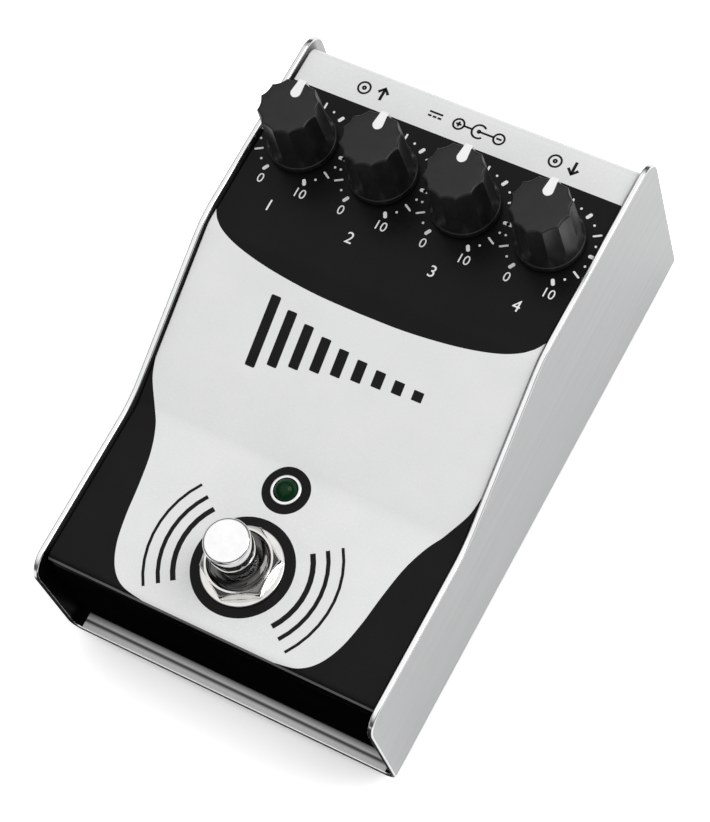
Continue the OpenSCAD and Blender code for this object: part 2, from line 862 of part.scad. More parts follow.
// Both leads drop from the lens, then run over the battery to the board
module led_leads() {
  start_z = panel_front_z + lens_bottom;
  color("white") for (x = [-leg_pitch / 2, leg_pitch / 2]) {
    route = [
      [x, light_y, start_z],
      [x, light_y, start_z - 3],
      [x, light_y + 5, battery_top_z + 2],
      [x, -battery_w / 4, battery_top_z + 2],
      [x, battery_w / 4, battery_top_z + 3],
      [x, solder_y, board_under_z - 4],
      [x, solder_y, board_under_z]
    ];
    tube(smooth(route, 4), lead_d / 2, 6, [1, 0, 0]);
  }
}

module signal_jack(x) {
  color("#222222") at_jack(x) difference() {
    block(jack_body_w, jack_body_h, -panel_t - jack_body_l, -panel_t);
    post(jack_chamber_d, -panel_t - jack_body_l + jack_end_t, -panel_t + cut);
    post(jack_bush_d + 2 * seat_gap, -panel_t - jack_seat, -panel_t + cut);
    contact_slots();
  }
}

// Places a contact above the plug, and another below it and to one side
module at_contacts() {
  translate([0, -contact_offset, 0]) children();
  translate([lower_contact_x, contact_offset, 0]) children();
}

module contact_slots() {
  inner_end = -panel_t - jack_body_l;
  at_contacts()
    block(contact_w + 2 * seat_gap, contact_t + 2 * seat_gap, inner_end - cut, inner_end + contact_grip);
}

module jack_contacts() {
  inner_end = -panel_t - jack_body_l;
  color("gold") for (x = [-jack_x, jack_x]) {
    at_jack(x) at_contacts() block(contact_w, contact_t, inner_end - contact_out, inner_end + contact_grip);
  }
}

module jack_bush(x) {
  color("silver") at_jack(x) ring(jack_bush_d, plug_bore_d, -panel_t - jack_seat, jack_bush_out);
}

module jack_nuts() {
  color("silver") for (x = [-jack_x, jack_x]) {
    at_jack(x) hex_nut(jack_nut_af, jack_bush_d + 2 * seat_gap, jack_washer_t, jack_washer_t + jack_nut_h);
  }
}

module jack_washers() {
  color("silver") for (x = [-jack_x, jack_x]) {
    at_jack(x) ring(jack_washer_d, jack_bush_d + 2 * seat_gap, 0, jack_washer_t);
  }
}

// Leads from the signal jacks' contacts and the supply jack's tongues up to the board
module jack_leads() {
  lug_y = rear_inner_y - jack_body_l - contact_out / 2;
  tongue_y = rear_inner_y - supply_body_l - supply_tongue_l / 2;
  upper_z = jack_z + contact_offset + contact_t / 2;
  lower_z = jack_z - contact_offset + contact_t / 2;
  tongue_z = jack_z + lug_w / 2;
  color("red") {
    for (x = [-jack_x, jack_x]) {
      riser([x, lug_y, upper_z]);
      riser([x + lower_contact_x, lug_y, lower_z]);
    }
    for (x = [-supply_tongue_x, supply_tongue_x]) {
      riser([x, tongue_y, tongue_z]);
    }
  }
}

// Lead straight up from a lug to the board's underside, bowed a little to the front
module riser(start) {
  rise = board_under_z - start.z;
  stub = 2;
  bow = 1;
  route = [
    start,
    start + [0, 0, stub],
    start + [0, -bow, rise / 2],
    start + [0, 0, rise - stub],
    start + [0, 0, rise]
  ];
  tube(smooth(route, 3), lead_d / 2, 6, [1, 0, 0]);
}

module supply_jack() {
  body_end = -panel_t - supply_body_l;
  color("#222222") at_jack(0) difference() {
    union() {
      post(supply_body_d, body_end, -panel_t);
      post(supply_barrel_d, -panel_t, jack_bush_out);
    }
    post(supply_bore_d, body_end + supply_wall, jack_bush_out + cut);
    post(supply_pin_d + 2 * seat_gap, body_end - cut, body_end + supply_wall + cut);
    translate([supply_tongue_x, 0, 0])
      block(lug_t + 2 * seat_gap, lug_w + 2 * seat_gap, body_end - cut, body_end + supply_wall + cut);
  }
}

// Centre pin with the tongue that is soldered to its tail
module supply_jack_pin() {
  body_end = -panel_t - supply_body_l;
  pin_setback = 1;
  tail_t = 0.6;
  color("silver") at_jack(0) {
    post(supply_pin_d, body_end - tail_t, jack_bush_out - pin_setback);
    translate([-supply_tongue_x / 2, 0, 0])
      block(supply_tongue_x + lug_t, lug_w, body_end - tail_t, body_end);
    translate([-supply_tongue_x, 0, 0]) block(lug_t, lug_w, body_end - supply_tongue_l, body_end - tail_t);
  }
}

// Sleeve contact in the wall beside the bore, with its tongue
module supply_jack_spring() {
  body_end = -panel_t - supply_body_l;
  grip = 1;
  color("gold") at_jack(0) translate([supply_tongue_x, 0, 0])
    block(lug_t, lug_w, body_end - supply_tongue_l, body_end + grip);
}

module supply_jack_nut() {
  color("#222222") at_jack(0)
    hex_nut(supply_nut_af, supply_barrel_d + 2 * seat_gap, 0, jack_washer_t + jack_nut_h);
}

module main_board() {
  color("darkgreen") difference() {
    translate([0, board_rear_y - board_l / 2, 0]) block(board_w, board_l, board_under_z, board_top_z);
    translate([0, 0, board_top_z - panel_rear_z]) at_pins() post(pin_d + 2 * hole_gap, -board_t - cut, cut);
  }
}

// Component block hanging from the board's underside
module under_board(x, y, w, l, h) {
  translate([x, y, 0]) block(w, l, board_under_z - h, board_under_z);
}

module delay_chip() {
  color("#1a1a1a") under_board(-dial_pitch, chip_y, delay_chip_l, chip_w, chip_h);
}

module op_amp_chips() {
  color("#1a1a1a") for (x = [dial_pitch / 2, 3 * dial_pitch / 2]) {
    under_board(x, chip_y, op_amp_l, chip_w, chip_h);
  }
}

module regulator() {
  color("#1a1a1a") translate([0, regulator_y, 0])
    post(regulator_d, board_under_z - regulator_h, board_under_z);
}

module capacitors() {
  color("navy") for (x = capacitor_xs) {
    translate([x, capacitor_y, 0]) post(capacitor_d, board_under_z - capacitor_h, board_under_z);
  }
}

module at_terminals(x0) {
  for (side = [-1, 1]) {
    translate([x0, side * terminal_pitch / 2, battery_z + battery_h / 2]) rotate([0, 90, 0]) children();
  }
}

module battery() {
  color("#b08030") {
    translate([battery_x, 0, 0]) block(battery_l, battery_w, battery_z, battery_top_z);
    at_terminals(battery_end_x) cylinder(r = terminal_r, h = terminal_h);
  }
}

module battery_snap() {
  mid_z = battery_z + battery_h / 2;
  color("#181818") difference() {
    translate([battery_end_x + snap_t / 2, 0, mid_z]) block(snap_t, snap_w, -snap_h / 2, snap_h / 2);
    at_terminals(battery_end_x - cut) cylinder(r = terminal_r + seat_gap, h = terminal_h + cut + seat_gap);
  }
}

module battery_pad() {
  color("#333333") translate([battery_x, 0, 0])
    block(battery_l - 2 * pad_margin, battery_w - 2 * pad_margin, floor_z, battery_z);
}

module battery_leads() {
  snap_top_z = battery_z + (battery_h + snap_h) / 2;
  snap_x = battery_end_x + snap_t / 2;
  color("red") for (side = [-1, 1]) {
    x = snap_x + side * snap_t / 4;
    route = [
      [x, side * 2, snap_top_z],
      [x, side * 2, snap_top_z + 4],
      [x, battery_w / 4, battery_top_z + 4],
      [x, solder_y, board_under_z - 4],
      [x, solder_y, board_under_z]
    ];
    tube(smooth(route, 4), lead_d / 2, 6, [1, 0, 0]);
  }
}

// Three leads from the rear row of switch lugs, up past the battery's right end to the board
module switch_leads() {
  lug_y = switch_y + lug_pitch + lug_t / 2;
  lug_z = panel_front_z + body_bottom - lug_l / 2;
  lane_x = battery_end_x + snap_t + 4;
  color("yellow") for (k = [-1:1]) {
    lane = lane_x + 2 * k;
    route = [
      [k * lug_pitch, lug_y, lug_z],
      [k * lug_pitch, lug_y + 4, lug_z],
      [lane - 3, -battery_w / 2 - 6, lug_z + 1],
      [lane, -battery_w / 4, battery_top_z - 10],
      [lane, battery_w / 2, battery_top_z],
      [lane, solder_y, board_under_z - 4],
      [lane, solder_y, board_under_z]
    ];
    tube(smooth(route, 4), lead_d / 2, 6, [1, 0, 0]);
  }
}

chassis();
top_panel();
rubber_feet();
panel_screws();
clinch_nuts();
for (i = [0:len(DIALS) - 1]) {
  knob(i);
  pointer(i);
  shaft(i);
  pot(i);
}
pot_bushes();
pot_nuts();
pot_washers();
pot_wafers();
pot_pins();
footswitch_button();
footswitch_bush();
footswitch_body();
footswitch_spring();
footswitch_lugs();
footswitch_nut();
footswitch_washer();
footswitch_lock_nut();
led_lens();
led_bezel();
led_leads();
signal_jack(jack_x);  // input_jack
signal_jack(-jack_x);  // output_jack
jack_bush(jack_x);  // input_jack_bush
jack_bush(-jack_x);  // output_jack_bush
jack_nuts();
jack_washers();
jack_contacts();
jack_leads();
supply_jack();
supply_jack_pin();
supply_jack_spring();
supply_jack_nut();
main_board();
delay_chip();
op_amp_chips();
regulator();
capacitors();
battery();
battery_snap();
battery_pad();
battery_leads();
switch_leads();
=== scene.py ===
import math
import bmesh
import bpy
import numpy as np
from mathutils import Matrix, Vector
from mathutils.geometry import delaunay_2d_cdt


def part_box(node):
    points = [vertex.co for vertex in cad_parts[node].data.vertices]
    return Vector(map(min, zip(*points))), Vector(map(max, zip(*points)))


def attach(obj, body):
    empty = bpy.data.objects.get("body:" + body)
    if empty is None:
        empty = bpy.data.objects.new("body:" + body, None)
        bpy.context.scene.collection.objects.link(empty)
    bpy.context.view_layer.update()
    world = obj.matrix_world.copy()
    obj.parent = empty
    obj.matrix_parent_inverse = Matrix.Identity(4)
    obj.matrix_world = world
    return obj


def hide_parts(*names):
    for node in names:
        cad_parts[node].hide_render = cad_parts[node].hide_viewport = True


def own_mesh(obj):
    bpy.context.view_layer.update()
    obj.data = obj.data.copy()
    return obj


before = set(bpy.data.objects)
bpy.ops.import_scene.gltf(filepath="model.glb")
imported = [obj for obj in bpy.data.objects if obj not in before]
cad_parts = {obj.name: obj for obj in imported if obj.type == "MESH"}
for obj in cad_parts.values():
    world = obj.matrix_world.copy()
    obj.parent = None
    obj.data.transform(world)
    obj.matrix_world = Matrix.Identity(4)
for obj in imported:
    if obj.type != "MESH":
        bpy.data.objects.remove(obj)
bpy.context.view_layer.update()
scene = bpy.context.scene
mm = 0.001
dialNames = ["level", "time", "repeat", "tone"]
print("frame loaded:", len(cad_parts), "nodes")


# Small tools

def boxMm(node):
    low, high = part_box(node)
    return low / mm, high / mm


def centreMm(node):
    low, high = boxMm(node)
    return (low + high) / 2


def addNode(tree, kind, inputs=None, **settings):
    node = tree.nodes.new(kind)
    for key, value in settings.items():
        setattr(node, key, value)
    for key, value in (inputs or {}).items():
        if isinstance(value, bpy.types.NodeSocket):
            tree.links.new(value, node.inputs[key])
        else:
            node.inputs[key].default_value = value
    return node


def worked(tree, operation, *values):
    # one step of arithmetic
    return addNode(tree, "ShaderNodeMath", dict(enumerate(values)), operation=operation).outputs[0]


def spread(tree, value, low, high, fromLow=0.0, fromHigh=1.0):
    # one range of values laid on another
    return addNode(tree, "ShaderNodeMapRange", {
        "Value": value, "From Min": fromLow, "From Max": fromHigh, "To Min": low, "To Max": high}).outputs[0]


def objectPlace(tree):
    return addNode(tree, "ShaderNodeTexCoord").outputs["Object"]


def axesOf(tree, vector):
    return addNode(tree, "ShaderNodeSeparateXYZ", {"Vector": vector}).outputs


def vectorOf(tree, **parts):
    return addNode(tree, "ShaderNodeCombineXYZ", parts).outputs[0]


def newObject(name, data):
    obj = bpy.data.objects.new(name, data)
    scene.collection.objects.link(obj)
    return obj


def makeMesh(name, points, faces, materials=(), faceMaterials=None, edges=()):
    mesh = bpy.data.meshes.new(name)
    mesh.from_pydata([Vector(p) * mm for p in points], edges, faces)
    for material in materials:
        mesh.materials.append(material)
    if faceMaterials is not None:
        mesh.polygons.foreach_set("material_index", faceMaterials)
    mesh.update()
    return mesh


def smoothed(mesh, sharpAngle=32):
    mesh.shade_smooth()
    mesh.set_sharp_from_angle(angle=math.radians(sharpAngle))
    return mesh


def closedUp(mesh, distance=1e-7):
    # doubled points merged and faces turned outward
    work = bmesh.new()
    work.from_mesh(mesh)
    bmesh.ops.remove_doubles(work, verts=work.verts, dist=distance)
    bmesh.ops.dissolve_degenerate(work, edges=work.edges, dist=distance)
    bmesh.ops.recalc_face_normals(work, faces=work.faces)
    work.to_mesh(mesh)
    work.free()
    return mesh


def shown(name, mesh, body, nodes):
    # a finished piece: it rides on a body and stands for CAD nodes
    obj = newObject(name, mesh)
    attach(obj, body)
    if nodes:
        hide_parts(*nodes)
    return obj


def appliedMesh(obj):
    # the mesh with its modifiers worked in, and the object that carried them removed
    evaluated = obj.evaluated_get(bpy.context.evaluated_depsgraph_get())
    mesh = bpy.data.meshes.new_from_object(evaluated)
    bpy.data.objects.remove(obj)
    return mesh


def joinedMesh(name, meshes, material):
    work = bmesh.new()
    for mesh in meshes:
        work.from_mesh(mesh)
    mesh = bpy.data.meshes.new(name)
    work.to_mesh(mesh)
    work.free()
    mesh.materials.clear()
    mesh.materials.append(material)
    mesh.polygons.foreach_set("material_index", [0] * len(mesh.polygons))
    return mesh


def copiedMesh(mesh, matrix):
    # the matrix works in millimetres
    copy = mesh.copy()
    toMetres = Matrix.Scale(mm, 4)
    copy.transform(toMetres @ matrix @ toMetres.inverted())
    return copy


def cutMesh(mesh, cutter):
    body = newObject("cutBody", mesh)
    tool = newObject("cutTool", cutter)
    modifier = body.modifiers.new("cut", "BOOLEAN")
    modifier.operation = "DIFFERENCE"
    modifier.solver = "EXACT"
    modifier.object = tool
    result = appliedMesh(body)
    bpy.data.objects.remove(tool)
    return result


softenLook = {"merge": 1e-6, "flatAngle": 0.5, "sharpAngle": 38, "segments": 2}


def softenedMesh(node, width, finish, look=softenLook):
    # CAD node with its sharp edges rounded a little
    work = bmesh.new()
    work.from_mesh(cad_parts[node].data)
    flat, folded = math.radians(look["flatAngle"]), math.radians(look["sharpAngle"])
    bmesh.ops.remove_doubles(work, verts=work.verts, dist=look["merge"])
    bmesh.ops.dissolve_limit(work, angle_limit=flat, verts=work.verts, edges=work.edges)
    sharp = [e for e in work.edges if e.is_manifold and e.calc_face_angle() > folded]
    bmesh.ops.bevel(work, geom=sharp, offset=width * mm, segments=look["segments"], profile=0.5,
                    affect="EDGES", clamp_overlap=True)
    mesh = bpy.data.meshes.new(node)
    work.to_mesh(mesh)
    work.free()
    mesh.materials.append(finish)
    return smoothed(mesh)


# Lines and turned shapes, in millimetres

def turnedAbout(vector, angle):
    c, s = math.cos(angle), math.sin(angle)
    return Vector((vector.x * c - vector.y * s, vector.x * s + vector.y * c))


def leftOf(vector):
    return Vector((-vector.y, vector.x))


def foldPath(corners, radii, closed=False, step=6):
    # rounded line as (point, left normal, distance from the start)
    corners = [Vector(c) for c in corners]
    count = len(corners)
    path = []
    for i, corner in enumerate(corners):
        away = (corners[(i + 1) % count] - corner).normalized()
        before = (corner - corners[i - 1]).normalized()
        if not closed and i in (0, count - 1):
            path.append((corner, leftOf(before if i else away)))
            continue
        turn = math.atan2(before.x * away.y - before.y * away.x, before.dot(away))
        radius = radii[i]
        if radius <= 0 or abs(turn) < 1e-6:
            path.append((corner, (leftOf(before) + leftOf(away)).normalized()))
            continue
        side = leftOf(before) * math.copysign(radius, turn)
        centre = corner - before * radius * math.tan(abs(turn) / 2) + side
        steps = max(2, math.ceil(math.degrees(abs(turn)) / step))
        for k in range(steps + 1):
            angle = turn * k / steps
            path.append((centre - turnedAbout(side, angle), turnedAbout(leftOf(before), angle)))
    total = 0.0
    measured = []
    for i, (point, normal) in enumerate(path):
        if i:
            total += (point - path[i - 1][0]).length
        measured.append((point, normal, total))
    return measured


def roundedLoop(corners, radii, step=8):
    return [point for point, _, _ in foldPath(corners, radii, True, step)]


def roundedRows(corners, radii, step, closed=False):
    # (radius, height) rows of a turned shape
    return [(point.x, point.y) for point, _, _ in foldPath(corners, radii, closed, step)]


def smoothLine(points, steps=6):
    # curve through given points
    points = [Vector(p) for p in points]
    ends = [2 * points[0] - points[1]] + points + [2 * points[-1] - points[-2]]
    line = []
    for a, b, c, d in zip(ends, ends[1:], ends[2:], ends[3:]):
        for k in range(steps):
            t = k / steps
            line.append(0.5 * (2 * b + (c - a) * t + (2 * a - 5 * b + 4 * c - d) * t ** 2
                               + (3 * b - a - 3 * c + d) * t ** 3))
    return line + [points[-1]]


def insetLoop(loop, distance):
    # mitred line inside a counter-clockwise loop
    moved = []
    for i, point in enumerate(loop):
        before = (point - loop[i - 1]).normalized()
        away = (loop[(i + 1) % len(loop)] - point).normalized()
        moved.append(point + distance * leftOf(before + away) / (1 + before.dot(away)))
    return moved


def turnedMesh(name, rows, segments, material, ring=False, sharpAngle=32):
    # rows are (radius, height), or functions of the angle that give them, up the outside
    points = []
    loops = []
    angles = [2 * math.pi * k / segments for k in range(segments)]
    for row in rows:
        pairs = [row(a) if callable(row) else row for a in angles]
        if max(r for r, _ in pairs) == 0:
            loops.append([len(points)] * segments)
            points.append((0, 0, pairs[0][1]))
            continue
        loops.append(list(range(len(points), len(points) + segments)))
        points += [(r * math.cos(a), r * math.sin(a), z) for a, (r, z) in zip(angles, pairs)]
    faces = []
    for low, high in zip(loops, loops[1:] + (loops[:1] if ring else [])):
        for k in range(segments):
            n = (k + 1) % segments
            faces.append(tuple(dict.fromkeys([low[k], low[n], high[n], high[k]])))
    return smoothed(makeMesh(name, points, faces, [material]), sharpAngle)


def slabMesh(name, loop, rows, material, sharpAngle=32):
    # loop is counter-clockwise, and rows are (inset, height) from the bottom up
    points = []
    for inset, height in rows:
        points += [(p.x, p.y, height) for p in insetLoop(loop, inset)]
    count = len(loop)
    faces = [tuple(reversed(range(count)))]
    for k in range(len(rows) - 1):
        for i in range(count):
            n = (i + 1) % count
            faces.append((k * count + i, k * count + n, (k + 1) * count + n, (k + 1) * count + i))
    faces.append(tuple(range((len(rows) - 1) * count, len(rows) * count)))
    return smoothed(makeMesh(name, points, faces, [material]), sharpAngle)


def ringRows(inner, outer, low, high, edge):
    return roundedRows([(inner, low), (outer, low), (outer, high), (inner, high)], [edge] * 4, 30, True)


def threadRows(radius, low, high, pitch, depth, rowsPerTurn=8):
    # rows of a rounded screw thread
    count = max(2, round((high - low) / pitch * rowsPerTurn))

    def rowAt(z):
        def at(angle):
            turn = (z / pitch - angle / (2 * math.pi)) % 1.0
            return radius - depth * (0.5 - 0.5 * math.cos(2 * math.pi * turn)), z
        return at
    return [rowAt(low + (high - low) * k / count) for k in range(count + 1)]


nutLook = {"faceInset": 0.12, "footMouth": 0.25, "footRise": 0.15, "footInset": 0.2, "footTop": 0.4,
           "coneSteps": 7, "mouth": 0.45, "segments": 120}


def nutMesh(flats, hole, low, high, slope, finish, look=nutLook):
    # hexagon whose top corners are turned down to a cone
    corner = flats / math.sqrt(3)
    face = flats / 2 - look["faceInset"]
    sector = math.radians(60)

    def hexRow(height, cone):
        return lambda angle: (min(flats / 2 / math.cos(angle % sector - sector / 2), cone), height)
    rows = [(hole + look["footMouth"], low), (face, low),
            hexRow(low + look["footRise"], corner - look["footInset"]), hexRow(low + look["footTop"], corner)]
    for k in range(look["coneSteps"] + 1):
        share = k / look["coneSteps"]
        rows.append(hexRow(high - slope * (1 - share), corner - (corner - face) * share))
    rows += [(hole + look["mouth"], high), (hole, high - look["mouth"]), (hole, low + look["footMouth"])]
    return turnedMesh("nut", rows, look["segments"], finish, ring=True)


# Folded sheets

def insidePolygon(points, polygon):
    x, y = points[:, 0], points[:, 1]
    inside = np.zeros(len(points), bool)
    for (x0, y0), (x1, y1) in zip(polygon, polygon[1:] + polygon[:1]):
        if y0 != y1:
            inside ^= ((y0 > y) != (y1 > y)) & (x < (x1 - x0) * (y - y0) / (y1 - y0) + x0)
    return inside


def edgeDistance(points, outline, holes):
    # distance to the sheet's nearest edge, and the way out there
    nearest = np.full(len(points), 1e9)
    out = np.zeros((len(points), 2))
    for a, b in zip(outline, outline[1:] + outline[:1]):
        along = np.array(b - a)
        share = np.clip(((points - np.array(a)) @ along) / (along @ along), 0, 1)
        gap = np.linalg.norm(points - np.array(a) - share[:, None] * along, axis=1)
        closer = gap < nearest - 1e-7
        nearest[closer] = gap[closer]
        out[closer] = np.array((along[1], -along[0])) / np.linalg.norm(along)
    for u, s, radius in holes:
        offset = points - np.array((u, s))
        reach = np.linalg.norm(offset, axis=1)
        closer = np.abs(reach - radius) < nearest - 1e-7
        nearest[closer] = np.abs(reach - radius)[closer]
        out[closer] = -offset[closer] / reach[closer, None]
    return nearest, out


def circleLoop(u, s, radius, count=72):
    return [Vector((u + radius * math.cos(2 * math.pi * k / count),
                    s + radius * math.sin(2 * math.pi * k / count))) for k in range(count)]


sheetLook = {"edgeSteps": 3, "merge": 1e-5, "holeShare": 0.9995, "edgeShare": 0.9}


def foldedSheet(name, path, outline, holes, look, place, finishes, zoneOf, zoneLines=(), flip=False):
    # a flat pattern in (across, along), cut out, folded along the path and given its thickness
    edge, thickness = look["edge"], look["thickness"]
    edgeSteps = sheetLook["edgeSteps"]
    coords = []
    edges = []

    def addLine(points, closed):
        first = len(coords)
        coords.extend(Vector(p) for p in points)
        edges.extend((k, k + 1) for k in range(first, len(coords) - 1))
        if closed:
            edges.append((len(coords) - 1, first))

    for k in range(edgeSteps + 1):
        inset = edge * (1 - math.cos(math.pi / 2 * k / edgeSteps))
        addLine(insetLoop(outline, inset), True)
        for u, s, radius in holes:
            addLine(circleLoop(u, s, radius + inset), True)
    wide = max(abs(p.x) for p in outline) + 1
    for _, _, s in path[1:-1]:
        addLine([(-wide, s), (wide, s)], False)
    for line in zoneLines:
        addLine(line, False)
    verts, _, faces, _, _, _ = delaunay_2d_cdt(coords, edges, [], 0, sheetLook["merge"])
    flat = np.array([tuple(v) for v in verts])
    triangles = np.array([tuple(f) for f in faces])
    middles = flat[triangles].mean(axis=1)
    kept = insidePolygon(middles, [tuple(p) for p in outline])
    for u, s, radius in holes:
        kept &= np.hypot(middles[:, 0] - u, middles[:, 1] - s) > radius * sheetLook["holeShare"]
    middles = middles[kept]
    used, renumbered = np.unique(triangles[kept], return_inverse=True)
    triangles = renumbered.reshape(-1, 3)
    flat = flat[used]

    along = [s for _, _, s in path]
    point = [np.interp(flat[:, 1], along, [p[i] for p, _, _ in path]) for i in (0, 1)]
    normal = [np.interp(flat[:, 1], along, [n[i] for _, n, _ in path]) for i in (0, 1)]
    gap, out = edgeDistance(flat, outline, holes)
    lean = np.clip((edge - gap) / edge, 0, 1)
    upright = np.sqrt(1 - lean ** 2)
    depth = edge * (1 - upright)

    def placed(u, a, b):
        return np.column_stack(place(u, a, b))

    nothing = np.zeros(len(flat))
    upward = placed(nothing, *normal)
    outward = (placed(out[:, 0], nothing, nothing)
               + placed(nothing, out[:, 1] * normal[1], -out[:, 1] * normal[0]))
    outer = placed(flat[:, 0], *[p - depth * n for p, n in zip(point, normal)])
    inner = placed(flat[:, 0], *[p - (thickness - depth) * n for p, n in zip(point, normal)])
    outerNormal = upright[:, None] * upward + lean[:, None] * outward
    innerNormal = -upright[:, None] * upward + lean[:, None] * outward

    count = len(flat)
    outerFaces = [tuple(t) for t in triangles.tolist()]
    innerFaces = [(c + count, b + count, a + count) for a, b, c in outerFaces]
    owner = {}
    for i, (a, b, c) in enumerate(outerFaces):
        for side in ((a, b), (b, c), (c, a)):
            owner[side] = i
    rims = [(a, b, i) for (a, b), i in owner.items() if (b, a) not in owner]
    wallFaces = [(a, a + count, b + count, b) for a, b, _ in rims]
    onEdge = gap[triangles].mean(axis=1) < edge * sheetLook["edgeShare"]
    zones, insideZones = zoneOf(middles, onEdge)
    faceMaterials = [*zones.tolist(), *insideZones.tolist(), *(int(zones[i]) for _, _, i in rims)]
    allFaces = outerFaces + innerFaces + wallFaces
    if flip:
        allFaces = [tuple(reversed(f)) for f in allFaces]
    mesh = makeMesh(name, np.vstack([outer, inner]).tolist(), allFaces, finishes, faceMaterials)
    mesh.shade_smooth()
    normals = np.vstack([outerNormal, innerNormal])
    normals /= np.linalg.norm(normals, axis=1)[:, None]
    mesh.normals_split_custom_set_from_vertices(normals.tolist())
    return mesh


# Geometry node trees

def newTree(name, sockets):
    tree = bpy.data.node_groups.new(name, "GeometryNodeTree")
    tree.interface.new_socket("Geometry", in_out="INPUT", socket_type="NodeSocketGeometry")
    for label, kind in sockets.items():
        tree.interface.new_socket(label, in_out="INPUT", socket_type="NodeSocket" + kind)
    tree.interface.new_socket("Geometry", in_out="OUTPUT", socket_type="NodeSocketGeometry")
    return tree, addNode(tree, "NodeGroupInput").outputs


def endTree(tree, geometry, finish):
    whole = addNode(tree, "GeometryNodeRealizeInstances", {"Geometry": geometry})
    dressed = addNode(tree, "GeometryNodeSetMaterial", {"Geometry": whole.outputs[0], "Material": finish})
    addNode(tree, "NodeGroupOutput", {"Geometry": dressed.outputs[0]})
    return tree


def grownMesh(name, base, tree, values):
    # base mesh through a tree, as a plain mesh
    obj = newObject(name, base)
    modifier = obj.modifiers.new("grow", "NODES")
    modifier.node_group = tree
    for item in tree.interface.items_tree:
        if item.in_out == "INPUT" and item.name in values:
            modifier[item.identifier] = values[item.name]
    return appliedMesh(obj)


def prismNodes(tree, width, length, height, corner):
    # rounded flat block that stands on z = 0
    outline = addNode(tree, "GeometryNodeCurvePrimitiveQuadrilateral", {"Width": width, "Height": length})
    rounded = addNode(tree, "GeometryNodeFilletCurve", {
        "Curve": outline.outputs[0], "Radius": corner, "Count": 4, "Limit Radius": True}, mode="POLY")
    face = addNode(tree, "GeometryNodeFillCurve", {"Curve": rounded.outputs[0]}, mode="NGONS").outputs[0]
    top = addNode(tree, "GeometryNodeExtrudeMesh", {
        "Mesh": face, "Offset": vectorOf(tree, Z=height), "Individual": False}, mode="FACES")
    under = addNode(tree, "GeometryNodeFlipFaces", {"Mesh": face})
    both = addNode(tree, "GeometryNodeJoinGeometry")
    tree.links.new(top.outputs["Mesh"], both.inputs[0])
    tree.links.new(under.outputs[0], both.inputs[0])
    return addNode(tree, "GeometryNodeMergeByDistance", {
        "Geometry": both.outputs[0], "Distance": 0.0005 * mm}).outputs[0]


def placedTree():
    # one made piece on every point
    tree, given = newTree("placedPieces", {"Piece": "Object", "Finish": "Material"})
    piece = addNode(tree, "GeometryNodeObjectInfo", {"Object": given["Piece"]})
    copies = addNode(tree, "GeometryNodeInstanceOnPoints", {
        "Points": given["Geometry"], "Instance": piece.outputs["Geometry"]})
    return endTree(tree, copies.outputs[0], given["Finish"])


def sweptTree(flat, sides=14):
    # lines made into wires, or into flat printed strokes
    tree, given = newTree("flatStrokes" if flat else "roundWires",
                          {"Width": "Float", "Height": "Float", "Finish": "Material"})
    curve = addNode(tree, "GeometryNodeMeshToCurve", {"Mesh": given["Geometry"]})
    if flat:
        curve = addNode(tree, "GeometryNodeSetCurveNormal", {"Curve": curve.outputs[0]}, mode="Z_UP")
        profile = addNode(tree, "GeometryNodeCurvePrimitiveQuadrilateral", {
            "Width": given["Width"], "Height": given["Height"]})
    else:
        half = worked(tree, "MULTIPLY", given["Width"], 0.5)
        profile = addNode(tree, "GeometryNodeCurvePrimitiveCircle", {"Resolution": sides, "Radius": half})
    swept = addNode(tree, "GeometryNodeCurveToMesh", {
        "Curve": curve.outputs[0], "Profile Curve": profile.outputs[0], "Fill Caps": True})
    return endTree(tree, swept.outputs[0], given["Finish"])


def dialScaleTree():
    # marks in a ring round each point
    tree, given = newTree("dialScale", {
        "Count": "Int", "First": "Float", "Step": "Float", "Radius": "Float", "Width": "Float",
        "Length": "Float", "Height": "Float", "Corner": "Float", "Finish": "Material"})
    index = addNode(tree, "GeometryNodeInputIndex").outputs[0]
    turn = worked(tree, "MULTIPLY_ADD", index, given["Step"], given["First"])
    place = addNode(tree, "ShaderNodeVectorRotate", {
        "Vector": vectorOf(tree, Y=given["Radius"]), "Angle": turn}, rotation_type="Z_AXIS")
    line = addNode(tree, "GeometryNodeMeshLine", {"Count": given["Count"], "Offset": (0, 0, 0)})
    ring = addNode(tree, "GeometryNodeSetPosition", {
        "Geometry": line.outputs[0], "Position": place.outputs[0]})
    rotation = addNode(tree, "FunctionNodeEulerToRotation", {"Euler": vectorOf(tree, Z=turn)})
    mark = prismNodes(tree, given["Width"], given["Length"], given["Height"], given["Corner"])
    marks = addNode(tree, "GeometryNodeInstanceOnPoints", {
        "Points": ring.outputs[0], "Instance": mark, "Rotation": rotation.outputs[0]})
    dials = addNode(tree, "GeometryNodeInstanceOnPoints", {
        "Points": given["Geometry"], "Instance": marks.outputs[0]})
    return endTree(tree, dials.outputs[0], given["Finish"])


def fadingBarsTree():
    # row of bars, each shorter than the one before
    tree, given = newTree("fadingBars", {
        "Count": "Int", "Spacing": "Float", "Fade": "Float", "Width": "Float", "Length": "Float",
        "Height": "Float", "Corner": "Float", "Finish": "Material"})
    line = addNode(tree, "GeometryNodeMeshLine", {
        "Count": given["Count"], "Offset": vectorOf(tree, X=given["Spacing"])})
    index = addNode(tree, "GeometryNodeInputIndex").outputs[0]
    share = worked(tree, "POWER", given["Fade"], index)
    bar = prismNodes(tree, given["Width"], given["Length"], given["Height"], given["Corner"])
    bars = addNode(tree, "GeometryNodeInstanceOnPoints", {
        "Points": line.outputs[0], "Instance": bar, "Scale": vectorOf(tree, X=1.0, Y=share, Z=1.0)})
    return endTree(tree, bars.outputs[0], given["Finish"])


